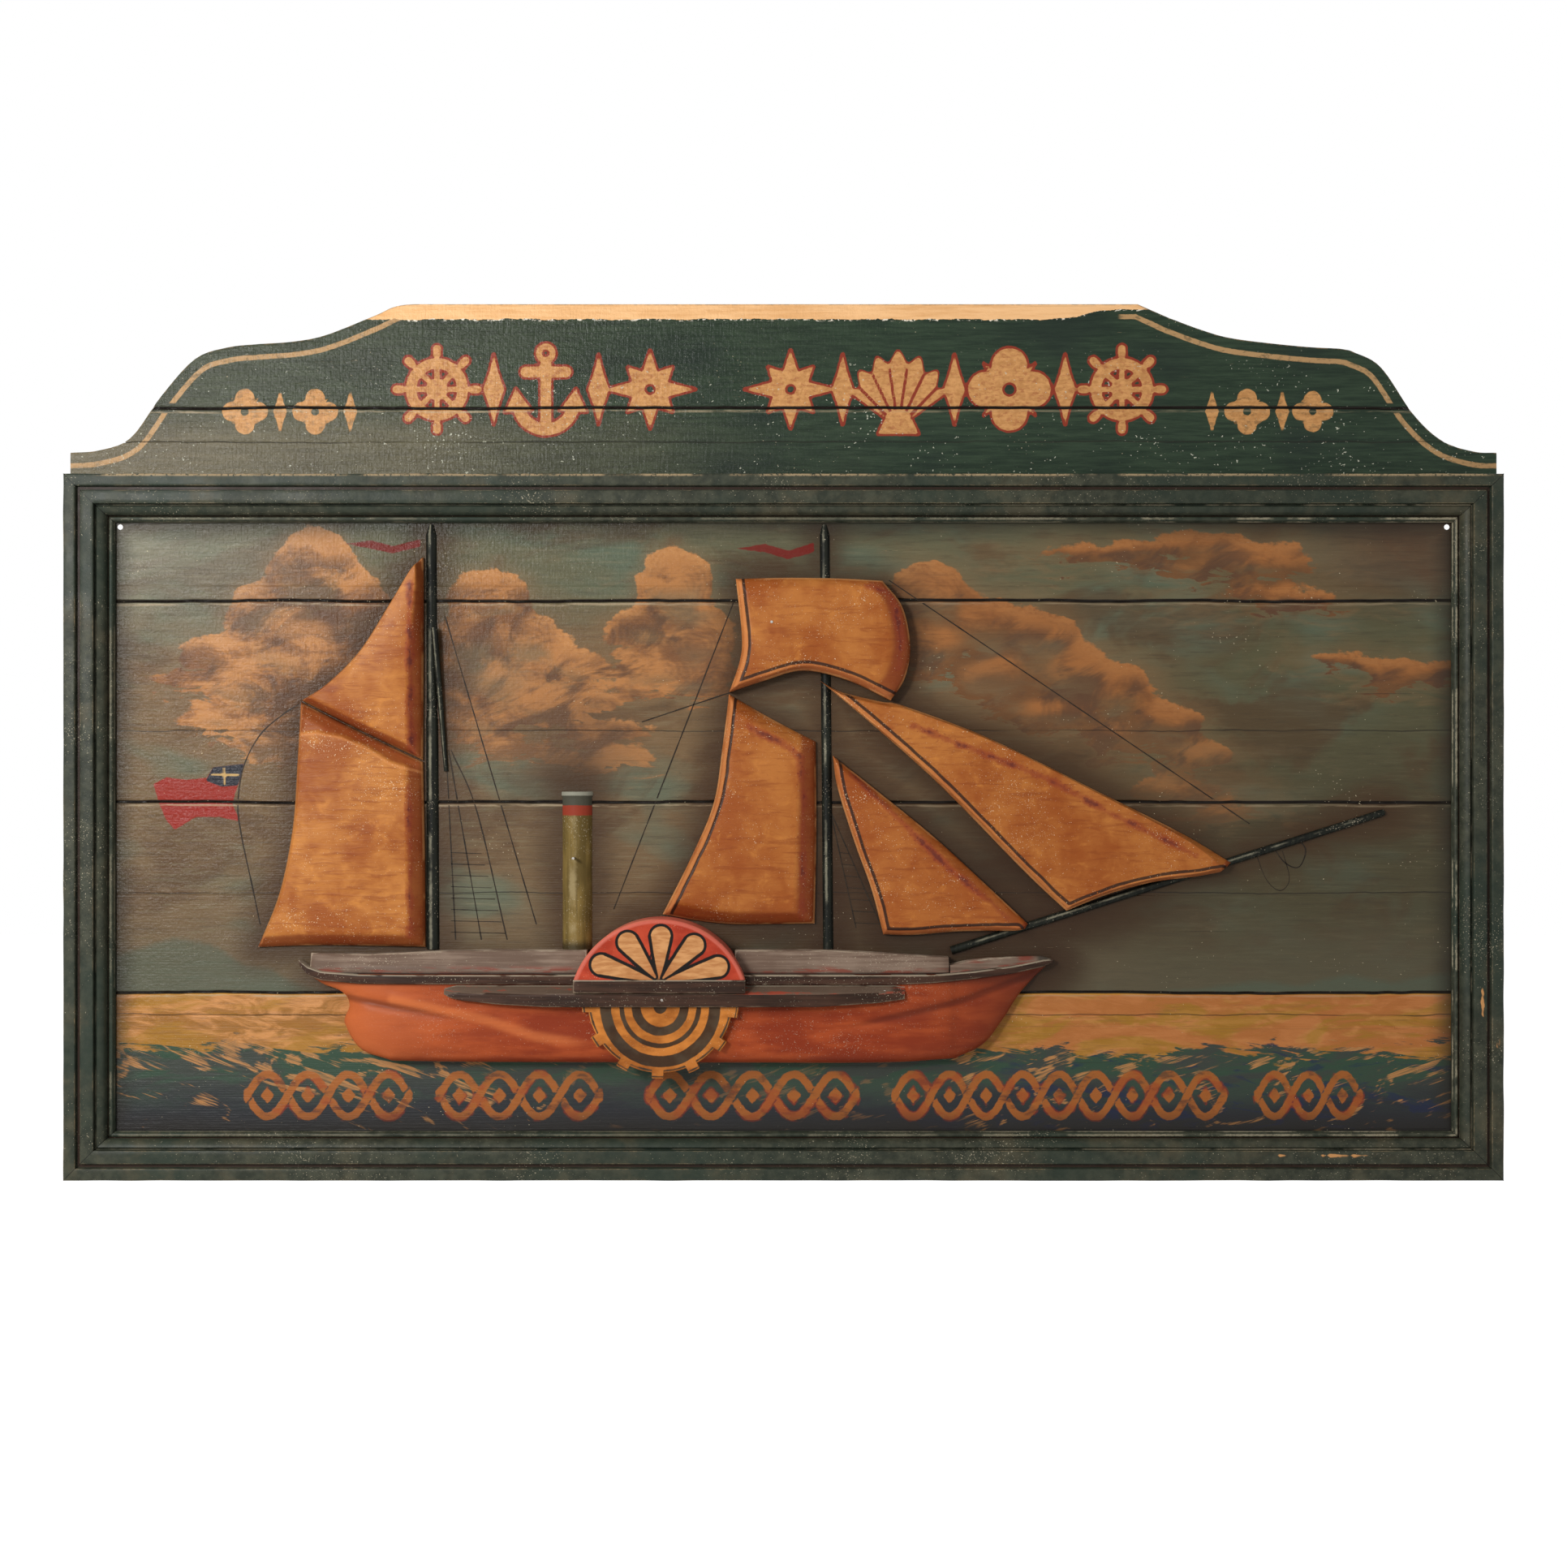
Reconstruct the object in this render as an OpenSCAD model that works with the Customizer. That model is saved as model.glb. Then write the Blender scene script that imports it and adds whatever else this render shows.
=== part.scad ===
// Carved and painted storefront sign: a shaped board with a moulded frame and a paddle steamer in relief.
// X runs along the sign, Z is up, and -Y faces the street. The wall is the plane y = 0.
// The origin is on the back face of the middle batten.

/* [Board] */
// Length of the glued-up boards
board_l = 1218; // [1200:1:1219]
// Thickness of the boards
board_t = 18; // [15:1:22]
// Height of the crest above the origin
crest_z = 373.5; // [368:0.5:376]
// Height of the header's end shoulders above the origin
shoulder_z = 246; // [240:1:248]
// Mouth width of the scored V grooves
groove_w = 4.5; // [3:0.5:6]

/* [Frame] */
// Outside length of the frame
frame_l = 1220; // [1219:1:1240]
// Top edge of the frame above the origin
frame_top = 226; // [222:1:228]
// Bottom edge of the frame below the origin
frame_bottom = -373; // [-380:1:-370]
// Width of the outer rail's face
rail_w = 25.5; // [24:0.5:28]
// How far the outer rail stands off the boards
rail_h = 20; // [17:1:24]
// Width of the inner moulding
mould_w = 14.5; // [14:0.5:18]

/* [Back] */
// Width of a back batten
batten_w = 45; // [36:1:60]
// Thickness of a back batten
batten_t = 16; // [14:1:22]
// Distance between the outer and the middle battens
batten_pitch = 400; // [300:10:440]
// Upper end of the battens above the origin
batten_top = 325; // [300:5:330]
// Lower end of the battens below the origin
batten_bottom = -345; // [-350:5:-320]

/* [Wall screws] */
// Distance between the two wall screw holes
wall_hole_pitch = 1132.8; // [1128:0.1:1133]
// Height of the wall screw holes above the origin
wall_hole_z = 182.4; // [180:0.1:182.4]
// Radius of the wall screw holes
wall_hole_r = 2.4; // [2:0.1:2.6]

/* [Ship] */
// Thickness of the hull amidships
hull_t = 28; // [26:1:30]
// Thickness of the sails
sail_t = 16; // [14:1:18]
// Width of the widest bevels carved along the sails
sail_bevel = 15; // [12:0.5:16]
// Radius of the paddle box arch
box_r = 76; // [75:0.5:77]
// How far the paddle box stands off the boards
box_h = 44; // [42:1:46]
// Radius of the paddle wheel's rim
wheel_r = 61; // [60:0.5:62]
// Number of floats in the paddle wheel's full circle
float_count = 13; // [12:1:14]
// Radius of the funnel
funnel_r = 14; // [12:0.5:15]

/* [Hidden] */

$fn = 48;
eps = 0.01;

// Planes that face the street, as distances in front of the wall
board_back = batten_t;
board_face = batten_t + board_t;
hull_face = board_face + hull_t;

// Glue lines between the boards, from the crest down to the bottom edge
board_bottom = frame_bottom + 2;
seams = [crest_z, 255, 132, 9, -132, -235, board_bottom];
// Heights of the scored V grooves
grooves = [284, 119.5, -52.5, -215];

// Frame opening, inside the mouldings
opening_inset = rail_w + mould_w;

// Ship positions
wheel_x = -103.5;
wheel_z = -218.5;
box_x = -104;
box_z = -226;
sill_top = -201;
sill_h = 11;
sheer_z = -198;
deck_z = -178;
mast_head_z = 184.5;
aft_mast_x = -299.2;
aft_mast_lean = 0.25;
fore_mast_x = 38.2;
fore_mast_lean = 0.5;
funnel_x = -176;
pin_r = 1.1;

// Curves

// Point at share t of the way along a smooth curve through the points of p
function curve_at(p, t) =
    let (n = len(p) - 1, s = min(max(t, 0), 1) * n, i = min(floor(s), n - 1), f = s - i,
        b = p[i], c = p[i + 1],
        a = i == 0 ? 2 * b - c : p[i - 1],
        d = i == n - 1 ? 2 * c - b : p[i + 2])
    0.5 * (2 * b + (c - a) * f + (2 * a - 5 * b + 4 * c - d) * f * f + (3 * b - a - 3 * c + d) * f * f * f);

// The whole curve through p, as n short sides
function curve(p, n) = [for (i = [0:n]) curve_at(p, i / n)];

// Height of the polyline p at x, with x rising along p
function height_at(p, x, i = 0) =
    i >= len(p) - 2 || x <= p[i + 1][0]
    ? p[i][1] + (p[i + 1][1] - p[i][1]) * min(max((x - p[i][0]) / (p[i + 1][0] - p[i][0]), 0), 1)
    : height_at(p, x, i + 1);

// Share of full height at distance d inside a rounded edge of radius r
function rounded(d, r) = sqrt(max(0, 1 - pow(1 - min(1, d / r), 2)));

// Grid lines across a width w, with bevels a and b wide at its two ends
function bevel_lines(w, a, b, middle) =
    let (part = 0.4, most = 0.9, m = max(w, (a + b) / most), e = a / m, f = b / m)
    concat([0, part * e], [for (i = [0:middle]) e + (1 - e - f) * i / middle], [1 - part * f, 1]);

// Share of full height at distance d up a bevel w wide, a little fuller than a plane
function bevelled(d, w) = let (fullness = 1.4) 1 - pow(1 - min(1, d / w), fullness);

// Patch between four curves: foot and head run with u, left and right run with v
function patch_at(q, u, v) =
    let (foot = q[0], head = q[1], left = q[2], right = q[3])
    (1 - v) * curve_at(foot, u) + v * curve_at(head, u)
    + (1 - u) * curve_at(left, v) + u * curve_at(right, v)
    - (1 - u) * (1 - v) * foot[0] - u * (1 - v) * foot[len(foot) - 1]
    - (1 - u) * v * head[0] - u * v * head[len(head) - 1];

// Solids from grids and sections

// Closed solid between the plane of the boards and a grid of [x, z, height] points
module relief(grid) {
    rows = len(grid);
    cols = len(grid[0]);
    back = rows * cols;
    rim = concat(
        [for (c = [0:cols - 1]) c],
        [for (r = [1:rows - 1]) r * cols + cols - 1],
        [for (c = [cols - 2:-1:0]) (rows - 1) * cols + c],
        [for (r = [rows - 2:-1:1]) r * cols]);
    n = len(rim);
    corners = [for (r = [0:rows - 2], c = [0:cols - 2]) r * cols + c];
    front_points = [for (r = grid, p = r) [p[0], -board_face - p[2], p[1]]];
    back_points = [for (r = grid, p = r) [p[0], -board_face, p[1]]];
    polyhedron(concat(front_points, back_points), concat(
        [for (i = corners) [i, i + cols, i + 1]],
        [for (i = corners) [i + 1, i + cols, i + cols + 1]],
        [for (i = corners) [back + i, back + i + 1, back + i + cols]],
        [for (i = corners) [back + i + 1, back + i + cols + 1, back + i + cols]],
        [for (i = [0:n - 1]) [rim[i], rim[(i + 1) % n], back + rim[(i + 1) % n], back + rim[i]]]));
}

// Solid through a list of sections, each a list of 3-D points in the same order
module loft(sections) {
    m = len(sections[0]);
    n = len(sections);
    polyhedron([for (s = sections, p = s) p], concat(
        [for (i = [0:n - 2], j = [0:m - 1])
            [i * m + j, i * m + (j + 1) % m, (i + 1) * m + (j + 1) % m]],
        [for (i = [0:n - 2], j = [0:m - 1])
            [i * m + j, (i + 1) * m + (j + 1) % m, (i + 1) * m + j]],
        [[for (j = [m - 1:-1:0]) j]],
        [[for (j = [0:m - 1]) (n - 1) * m + j]]));
}

// A drawing in the XZ plane, pulled from distance y0 to y1 in front of the wall
module pull(y0, y1) {
    translate([0, -y0, 0])
        rotate([90, 0, 0])
            linear_extrude(y1 - y0)
                children();
}

// Boards

// Outline of the glued-up board: the crest rounds off to the left and ends in a plain corner to the right
module board_outline() {
    left = concat(
        curve([[-board_l / 2, shoulder_z], [-585, 248], [-558, 258.5], [-532, 294],
            [-503, 326], [-475, 336], [-447, 339]], 30),
        curve([[-447, 339], [-419, 341], [-391, 346.5], [-350, 363], [-336, 370],
            [-326, crest_z - 0.8], [-316, crest_z]], 20));
    right = concat(
        [[303, crest_z]],
        curve([[330, 361], [357, 351], [385, 343.5], [441, 337], [475, 335]], 20),
        curve([[484, 333.5], [510, 319.5], [538, 279], [563, 256], [590, 247],
            [board_l / 2, shoulder_z]], 28));
    polygon(concat(left, right, [[board_l / 2, board_bottom], [-board_l / 2, board_bottom]]));
}

// V groove scored across the whole board
module v_groove(z) {
    side = groove_w / sqrt(2);
    translate([0, -board_face, z])
        rotate([45, 0, 0])
            cube([board_l + 2, side, side], center = true);
}

// Bare bevel planed along the crest
module crest_bevel() {
    bevel_h = 14;
    bevel_t = 3;
    translate([-board_l / 2, -board_face, crest_z - bevel_h])
        rotate([-atan(bevel_t / bevel_h), 0, 0])
            translate([0, -board_t, 0])
                cube([board_l, board_t, 2 * bevel_h]);
}

// One board of the six, counted from the crest
module board(i) {
    color(i == 1 ? "darkslategray" : i < 6 ? "dimgray" : "darkgoldenrod")
        difference() {
            intersection() {
                pull(board_back, board_face)
                    board_outline();
                translate([-board_l / 2, -board_face - 1, seams[i]])
                    cube([board_l, board_t + 2, seams[i - 1] - seams[i]]);
            }
            for (z = grooves)
                if (z > seams[i] && z < seams[i - 1])
                    v_groove(z);
            if (i == 1)
                crest_bevel();
            if (i == 2)
                for (side = [-1, 1])
                    translate([side * wall_hole_pitch / 2, 0, wall_hole_z])
                        rotate([90, 0, 0])
                            cylinder(h = 3 * board_face, r = wall_hole_r, center = true);
            all_batten_screws();
        }
}

// Frame

// Section of a bar from a to b across, h high, with its two upper edges rounded
module rounded_bar(a, b, h, r) {
    translate([a, 0])
        square([b - a, h - r]);
    translate([a + r, 0])
        square([b - a - 2 * r, h]);
    translate([a + r, h - r])
        circle(r);
    translate([b - r, h - r])
        circle(r);
}

// Outer rail: a raised edge band, a quirk and a lower flat band
module rail_section() {
    band = 10.5;
    quirk = 3.5;
    quirk_h = 14.5;
    lower_h = rail_h - 1.5;
    square([rail_w, quirk_h]);
    rounded_bar(0, band, rail_h, 1.5);
    rounded_bar(band + quirk, rail_w, lower_h, 1);
}

// Inner moulding: an ovolo that falls to a bead against the boards
module mould_section() {
    ovolo = 8;
    step = 5;
    bead = 2.1;
    fillet = 1;
    translate([rail_w, 0])
        square([mould_w, step]);
    intersection() {
        translate([rail_w + fillet, step + 2.5])
            circle(ovolo);
        translate([rail_w + fillet, 0])
            square([ovolo, 2 * ovolo]);
    }
    translate([rail_w + fillet, 0])
        square([ovolo, step + 2.6]);
    translate([rail_w, 0])
        square([fillet + eps, step + ovolo]);
    translate([rail_w + mould_w - bead - 0.8, step])
        circle(bead);
}

// A section run along X and mitred, lying as the bottom rail with its outer edge at z = 0
module mitred(length) {
    reach = opening_inset + 1;
    intersection() {
        translate([-length / 2, -board_face, 0])
            rotate([90, 0, 90])
                linear_extrude(length)
                    rotate(90)
                        children();
        pull(board_face - 1, board_face + rail_h + 1)
            polygon([[-length / 2, 0], [length / 2, 0],
                [length / 2 - reach, reach], [-length / 2 + reach, reach]]);
    }
}

// Sets a bottom rail of the right length in its place on the frame
module on_side(side) {
    mid_z = (frame_top + frame_bottom) / 2;
    if (side == "bottom")
        translate([0, 0, frame_bottom])
            mitred(frame_l)
                children();
    if (side == "top")
        translate([0, 0, frame_top])
            rotate([0, 180, 0])
                mitred(frame_l)
                    children();
    if (side == "left")
        translate([-frame_l / 2, 0, mid_z])
            rotate([0, 90, 0])
                mitred(frame_top - frame_bottom)
                    children();
    if (side == "right")
        translate([frame_l / 2, 0, mid_z])
            rotate([0, -90, 0])
                mitred(frame_top - frame_bottom)
                    children();
}

module frame_rail(side) {
    color("darkslategray")
        on_side(side)
            rail_section();
}

module moulding(side) {
    color("darkslategray")
        on_side(side)
            mould_section();
}

// Back battens and their screws

screw_r = 2;
screw_head_r = 4;
screw_head_h = 3;
screw_l = 26;

// One countersunk screw, driven from the back
module batten_screw(x, z) {
    slot = 0.9;
    translate([x, 0, z])
        rotate([90, 0, 0])
            difference() {
                union() {
                    cylinder(h = screw_head_h, r1 = screw_head_r, r2 = screw_r);
                    cylinder(h = screw_l, r = screw_r);
                }
                translate([-screw_head_r, -slot / 2, -1])
                    cube([2 * screw_head_r, slot, 2]);
            }
}

// Hole that a screw fills
module screw_hole(x, z) {
    translate([x, 0, z])
        rotate([90, 0, 0])
            union() {
                cylinder(h = screw_head_h, r1 = screw_head_r, r2 = screw_r);
                cylinder(h = screw_l, r = screw_r);
                translate([0, 0, -1])
                    cylinder(h = 1, r = screw_head_r);
            }
}

// Places of the screws: two in each board on every batten, set on a diagonal
screw_spots = [for (b = [-1:1], i = [1:6], d = [-1, 1])
    let (mid = (min(seams[i - 1], batten_top) + max(seams[i], batten_bottom)) / 2,
        rise = (min(seams[i - 1], batten_top) - max(seams[i], batten_bottom)) / 4)
    [b * batten_pitch + d * batten_w / 4, mid + d * rise]];

module all_batten_screws() {
    for (s = screw_spots)
        screw_hole(s[0], s[1]);
}

module batten(k) {
    edge = 2;
    color("burlywood")
        difference() {
            translate([k * batten_pitch, 0, 0])
                rotate([0, 0, 180])
                    translate([0, 0, batten_bottom])
                        linear_extrude(batten_top - batten_bottom)
                            polygon([[-batten_w / 2, batten_t], [-batten_w / 2, edge],
                                [-batten_w / 2 + edge, 0], [batten_w / 2 - edge, 0],
                                [batten_w / 2, edge], [batten_w / 2, batten_t]]);
            all_batten_screws();
        }
}

module batten_screws() {
    color("silver")
        for (s = screw_spots)
            batten_screw(s[0], s[1]);
}

// Hull and its strips

// Thickness of the hull along X at the sheer, seen from above: flat amidships, falling to both ends
hull_plan = curve([[-404, 13], [-375, 20], [-340, hull_t - 2.5], [-290, hull_t], [-100, hull_t],
    [110, hull_t], [150, hull_t - 5], [190, 15], [229, 6]], 48);
function hull_depth(x) = x > -288 && x < 108 ? hull_t : min(hull_t, height_at(hull_plan, x));

// Outline of the hull: keel, sheer, stern with its tuck under the counter, and raked bow
hull_keel = [[-332, -272], [-250, -273], [-60, -273.5], [80, -273.5], [146, -270]];
hull_sheer = [[-403, -200], [-376, sheer_z], [-200, sheer_z], [60, sheer_z], [140, -197.5], [185, -193],
    [228, -188]];
hull_stern = [[-332, -272], [-359, -262], [-373, -240], [-369, -225], [-375, -214], [-392, -207],
    [-403, -200]];
hull_bow = [[146, -270], [170, -258], [187, -237], [203, -213], [228, -188]];

// Share of the hull's thickness from keel (0) to sheer (1): a rounded bilge under flat sides
function bilge(v) = 0.45 + 0.55 * rounded(v, 0.3);

module hull() {
    q = [hull_keel, hull_sheer, hull_stern, hull_bow];
    rows = [0, 0.02, 0.06, 0.12, 0.2, 0.3, 0.45, 0.6, 0.8, 1];
    columns = concat([0, 0.008, 0.02, 0.045, 0.08, 0.12, 0.16], [for (i = [2:7]) i * 0.1],
        [0.78, 0.84, 0.88, 0.92, 0.95, 0.975, 0.99, 1]);
    color("chocolate")
        difference() {
            relief([for (v = rows) [for (u = columns)
                let (p = patch_at(q, u, v), e = 0.55 + 0.45 * rounded(min(u, 1 - u), 0.05))
                [p[0], p[1], max(3, hull_depth(p[0]) * bilge(v) * (u < 0.16 || u > 0.78 ? e : 1))]]]);
            paddle_box_blank();
            pin_holes();
        }
}

// Even stations along X from a to b, in n steps
function stations(a, b, n) = [for (i = [0:n]) a + (b - a) * i / n];

// Deck strip between two stations: upright foot, sloping upper face, and a top that follows top_line
bulwark_top = [[-403, -181], [-353, -181.5], [-300, -179], [-250, deck_z], [40, deck_z], [93, -181],
    [141, -184]];
module bulwark(a, b) {
    setback = 5;
    foot_h = 6;
    slope = 6;
    loft([for (x = stations(a, b, 14))
        let (d = board_face + hull_depth(x) - setback, foot = height_at(hull_sheer, x),
            top = height_at(bulwark_top, x))
        [[x, -board_face, foot], [x, -d, foot], [x, -d, foot + foot_h],
            [x, -(d - slope), top], [x, -board_face, top]]]);
}

// Everything above the sill, as far round as the paddle box reaches
module above_sill() {
    translate([box_x - 2 * box_r, -2 * hull_face, sill_top])
        cube([4 * box_r, 2 * hull_face, 2 * box_r]);
}

// The arch of the paddle box, as a solid to cut the strips round it
module paddle_box_blank() {
    intersection() {
        translate([box_x, 1, box_z])
            rotate([90, 0, 0])
                cylinder(h = board_face + box_h + 2, r = box_r, $fn = 96);
        above_sill();
    }
}

module bulwark_aft() {
    color("rosybrown")
        difference() {
            bulwark(-403, box_x - 30);
            paddle_box_blank();
        }
}

module bulwark_fore() {
    color("rosybrown")
        difference() {
            bulwark(box_x + 30, 140);
            paddle_box_blank();
        }
}

// Leaf-shaped strip over the bow
bow_top = [[141, -190.5], [155, -187.3], [175, -185], [205, -183.8], [219, -183.6], [228, -185.8]];
module bulwark_bow() {
    color("rosybrown")
        loft([for (x = stations(141, 228, 12))
            let (d = board_face + hull_depth(x) - 2, foot = height_at(hull_sheer, x),
                top = height_at(bow_top, x))
            [[x, -board_face, foot], [x, -d, foot], [x, -(d - 3), top], [x, -board_face, top]]]);
}

// Rubbing strake that stands proud of the hull along the sheer
strake_top = [[-411, -186], [-404, -192], [-392, -196], [-358, sheer_z], [92, sheer_z], [127, -198],
    [161, -195.5], [195, -191.5], [222, -186.5], [229, -186]];
strake_bottom = [[-411, -190], [-404, -199], [-392, -203], [-358, -205.5], [24, -206], [92, -206],
    [127, -204.5], [161, -201.5], [195, -197.5], [222, -192], [229, -188.5]];
module strake(a, b) {
    proud = 3.5;
    loft([for (x = stations(a, b, 20))
        let (back = board_face + hull_depth(x), front = back + proud,
            top = height_at(strake_top, x), bottom = height_at(strake_bottom, x),
            turn = min(1.5, (top - bottom) / 3))
        [[x, -back, bottom], [x, -front, bottom], [x, -front, top - turn], [x, -(front - turn), top],
            [x, -back, top]]]);
}

module rail_aft() {
    color("saddlebrown")
        difference() {
            strake(-411, box_x - 72);
            paddle_box_blank();
        }
}

module rail_fore() {
    color("saddlebrown")
        difference() {
            strake(box_x + 72, 229);
            paddle_box_blank();
        }
}

// Guard, paddle box and wheel

guard_depth = [[-286, 4], [-270, 7.5], [-230, 11], [-170, 14], [-40, 14], [30, 12], [80, 8], [102, 4.5]];
guard_top = [[-286, -209], [-276, -206.5], [94, -206.5], [102, -208]];
guard_foot = -224;
guard_bottom = [[-286, -216], [-270, -219], [-240, -222], [-200, guard_foot], [30, guard_foot], [80, -221],
    [102, -218]];
module guard_board() {
    slope = 6.5;
    color("saddlebrown")
        difference() {
            loft([for (x = concat(stations(-286, -200, 8), stations(-190, 10, 4), stations(20, 102, 8)))
                let (front = hull_face + height_at(guard_depth, x), top = height_at(guard_top, x),
                    bottom = height_at(guard_bottom, x))
                [[x, -hull_face, top], [x, -hull_face, bottom], [x, -front, bottom],
                    [x, -front, top - min(slope, (top - bottom) / 2)]]]);
            sill_blank();
            pin_holes();
        }
}

module sill_blank() {
    sill_d = 18;
    translate([box_x - 72, -hull_face - sill_d, sill_top - sill_h])
        cube([144, sill_d, sill_h]);
}

module paddle_box_sill() {
    color("saddlebrown")
        sill_blank();
}

module paddle_box() {
    edge = 2.2;
    color("firebrick")
        intersection() {
            translate([box_x, -board_face, box_z])
                rotate([90, 0, 0]) {
                    cylinder(h = box_h - edge, r = box_r, $fn = 96);
                    translate([0, 0, box_h - edge])
                        cylinder(h = edge, r1 = box_r, r2 = box_r - edge, $fn = 96);
                }
            above_sill();
        }
}

// Lower half of the wheel, with a float standing out of the rim at each pitch
module paddle_wheel() {
    wheel_t = 8;
    float_w = 10;
    float_out = 5;
    lowest_float = -92;
    color("peru")
        pull(hull_face, hull_face + wheel_t)
            intersection() {
                translate([wheel_x, wheel_z]) {
                    circle(wheel_r, $fn = 96);
                    for (i = [-3:3])
                        rotate(lowest_float + i * 360 / float_count)
                            translate([0, -float_w / 2])
                                square([wheel_r + float_out, float_w]);
                }
                translate([wheel_x - 2 * wheel_r, guard_foot - 2 * wheel_r])
                    square([4 * wheel_r, 2 * wheel_r]);
            }
}

// Funnel, masts and bowsprit

// All that stands in front of the boards
module in_front() {
    translate([-board_l, -board_face - board_l, -board_l])
        cube([2 * board_l, board_l, 2 * board_l]);
}

module funnel() {
    sunk = 6;
    body_top = -49;
    rim_h = 2.5;
    color("olive")
        intersection() {
            difference() {
                translate([funnel_x, -board_face - sunk, deck_z]) {
                    cylinder(h = body_top - deck_z, r = funnel_r);
                    translate([0, 0, body_top - deck_z])
                        cylinder(h = rim_h, r1 = funnel_r, r2 = funnel_r + 0.8);
                    translate([0, 0, body_top - deck_z + rim_h])
                        cylinder(h = 3, r = funnel_r + 0.8);
                }
                pin_holes();
            }
            in_front();
        }
}

// Sets what it holds, drawn up from z = 0, along a mast that leans aft
module along_mast(x, lean) {
    translate([x, 0, deck_z])
        rotate([0, -lean, 0])
            children();
}

// Mast from the deck up to a pointed head, flattened on the boards
module mast(x, lean, foot_r, head_r) {
    sunk = 1.5;
    point_r = 2.4;
    point_h = 9;
    tall = mast_head_z - deck_z;
    intersection() {
        along_mast(x, lean)
            translate([0, -board_face + sunk, 0]) {
                cylinder(h = tall - point_h, r1 = foot_r, r2 = head_r);
                translate([0, 0, tall - point_h])
                    cylinder(h = point_h, r1 = head_r, r2 = point_r);
            }
        in_front();
    }
}

module aft_mast() {
    color("darkslategray")
        mast(aft_mast_x, aft_mast_lean, 5.7, 4.9);
}

module fore_mast() {
    color("darkslategray")
        mast(fore_mast_x, fore_mast_lean, 4.7, 4.5);
}

// Slender spar that leans on the aft mast and comes down to the boards at its foot
module aft_mast_spar() {
    foot = [-288, -board_face - 0.6, -26];
    head = [-297.3, -board_face - 7, 96];
    way = head - foot;
    color("darkslategray")
        intersection() {
            translate(foot)
                rotate([0, acos(way[2] / norm(way)), atan2(way[1], way[0])])
                    cylinder(h = norm(way), r1 = 1.9, r2 = 3);
            in_front();
        }
}

// Sets what it holds, drawn along +Z, along the bowsprit
bowsprit_l = 388;
module along_bowsprit() {
    rise = 17.7;
    translate([143, -board_face, -179.1])
        rotate([0, 90 - rise, 0])
            children();
}

module bowsprit() {
    heel_r = 3.6;
    tip_r = 2.2;
    proud = 1;
    color("darkslategray")
        along_bowsprit()
            intersection() {
                translate([0, -proud, 0])
                    cylinder(h = bowsprit_l, r1 = heel_r, r2 = tip_r);
                translate([-2 * heel_r, -4 * heel_r, -1])
                    cube([4 * heel_r, 4 * heel_r, bowsprit_l + 2]);
            }
}

// Notches in the sails' backs for the spars that they cross
notch_clear = 1;

module bowsprit_notch() {
    notch_w = 8.4;
    notch_d = 5;
    along_bowsprit()
        translate([-notch_w / 2, -notch_d, 0])
            cube([notch_w, notch_d + notch_clear, bowsprit_l + 5]);
}

module fore_mast_notch(low, high) {
    notch_w = 11;
    notch_d = 4.4;
    along_mast(fore_mast_x, fore_mast_lean)
        translate([-notch_w / 2, -board_face - notch_d, low - deck_z])
            cube([notch_w, notch_d + notch_clear, high - low]);
}

// Sails: foot, head, left and right edges as curves through [x, z] points

gaff_topsail_edges = [
    [[-411, 34], [-360, 8], [-307.5, -17]],
    [[-309.5, 154], [-308.5, 155.5], [-307, 156]],
    [[-411, 34], [-388, 49.5], [-361, 77], [-335, 118], [-318, 146], [-309.5, 154]],
    [[-307.5, -17], [-307, 70], [-307, 156]]];
aft_mainsail_edges = [
    [[-448, -176], [-400, -174.5], [-350, -175], [-305.5, -176]],
    [[-411.5, 33], [-360, 7], [-307.5, -18]],
    [[-448, -176], [-429.5, -129], [-418.5, -74], [-414.5, -19], [-411.5, 33]],
    [[-305.5, -176], [-306, -97], [-307.5, -18]]];
square_topsail_edges = [
    [[-46, 41], [-16, 51], [17, 59.5], [55, 51], [91, 34]],
    [[-40.5, 137], [0, 138], [45, 137.5], [84, 135.5]],
    [[-46, 41], [-37, 68], [-35.5, 90], [-40.5, 137]],
    [[91, 34], [103, 53], [107.5, 80], [101, 113], [84, 135.5]]];
fore_gaff_sail_edges = [
    [[-103, -148], [-76, -153], [-45, -156.5], [-10, -156.5], [26.5, -156]],
    [[-46.5, 39.5], [-10, 18.5], [27.5, -1]],
    [[-103, -148], [-78, -98], [-59.5, -53], [-52, -5], [-46.5, 39.5]],
    [[26.5, -156], [28, -80], [27.5, -1]]];
outer_jib_edges = [
    [[241, -145], [276, -131], [315, -120.5], [350, -116], [372, -112]],
    [[31, 51], [45, 43], [62, 38], [84, 33], [104, 29], [176, 1.5], [272, -45.5], [340, -79.5],
        [381, -104]],
    [[241, -145], [205, -111], [135, -39.5], [80, 10], [31, 51]],
    [[372, -112], [377, -108], [381, -104]]];
inner_jib_edges = [
    [[85, -165], [110, -165.5], [150, -162.5], [198, -162]],
    [[42, -13], [80, -43], [128, -82], [175, -125], [208, -156]],
    [[85, -165], [75, -127], [60, -85], [46, -40], [42, -13]],
    [[198, -162], [205, -160.5], [208, -156]]];

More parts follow.
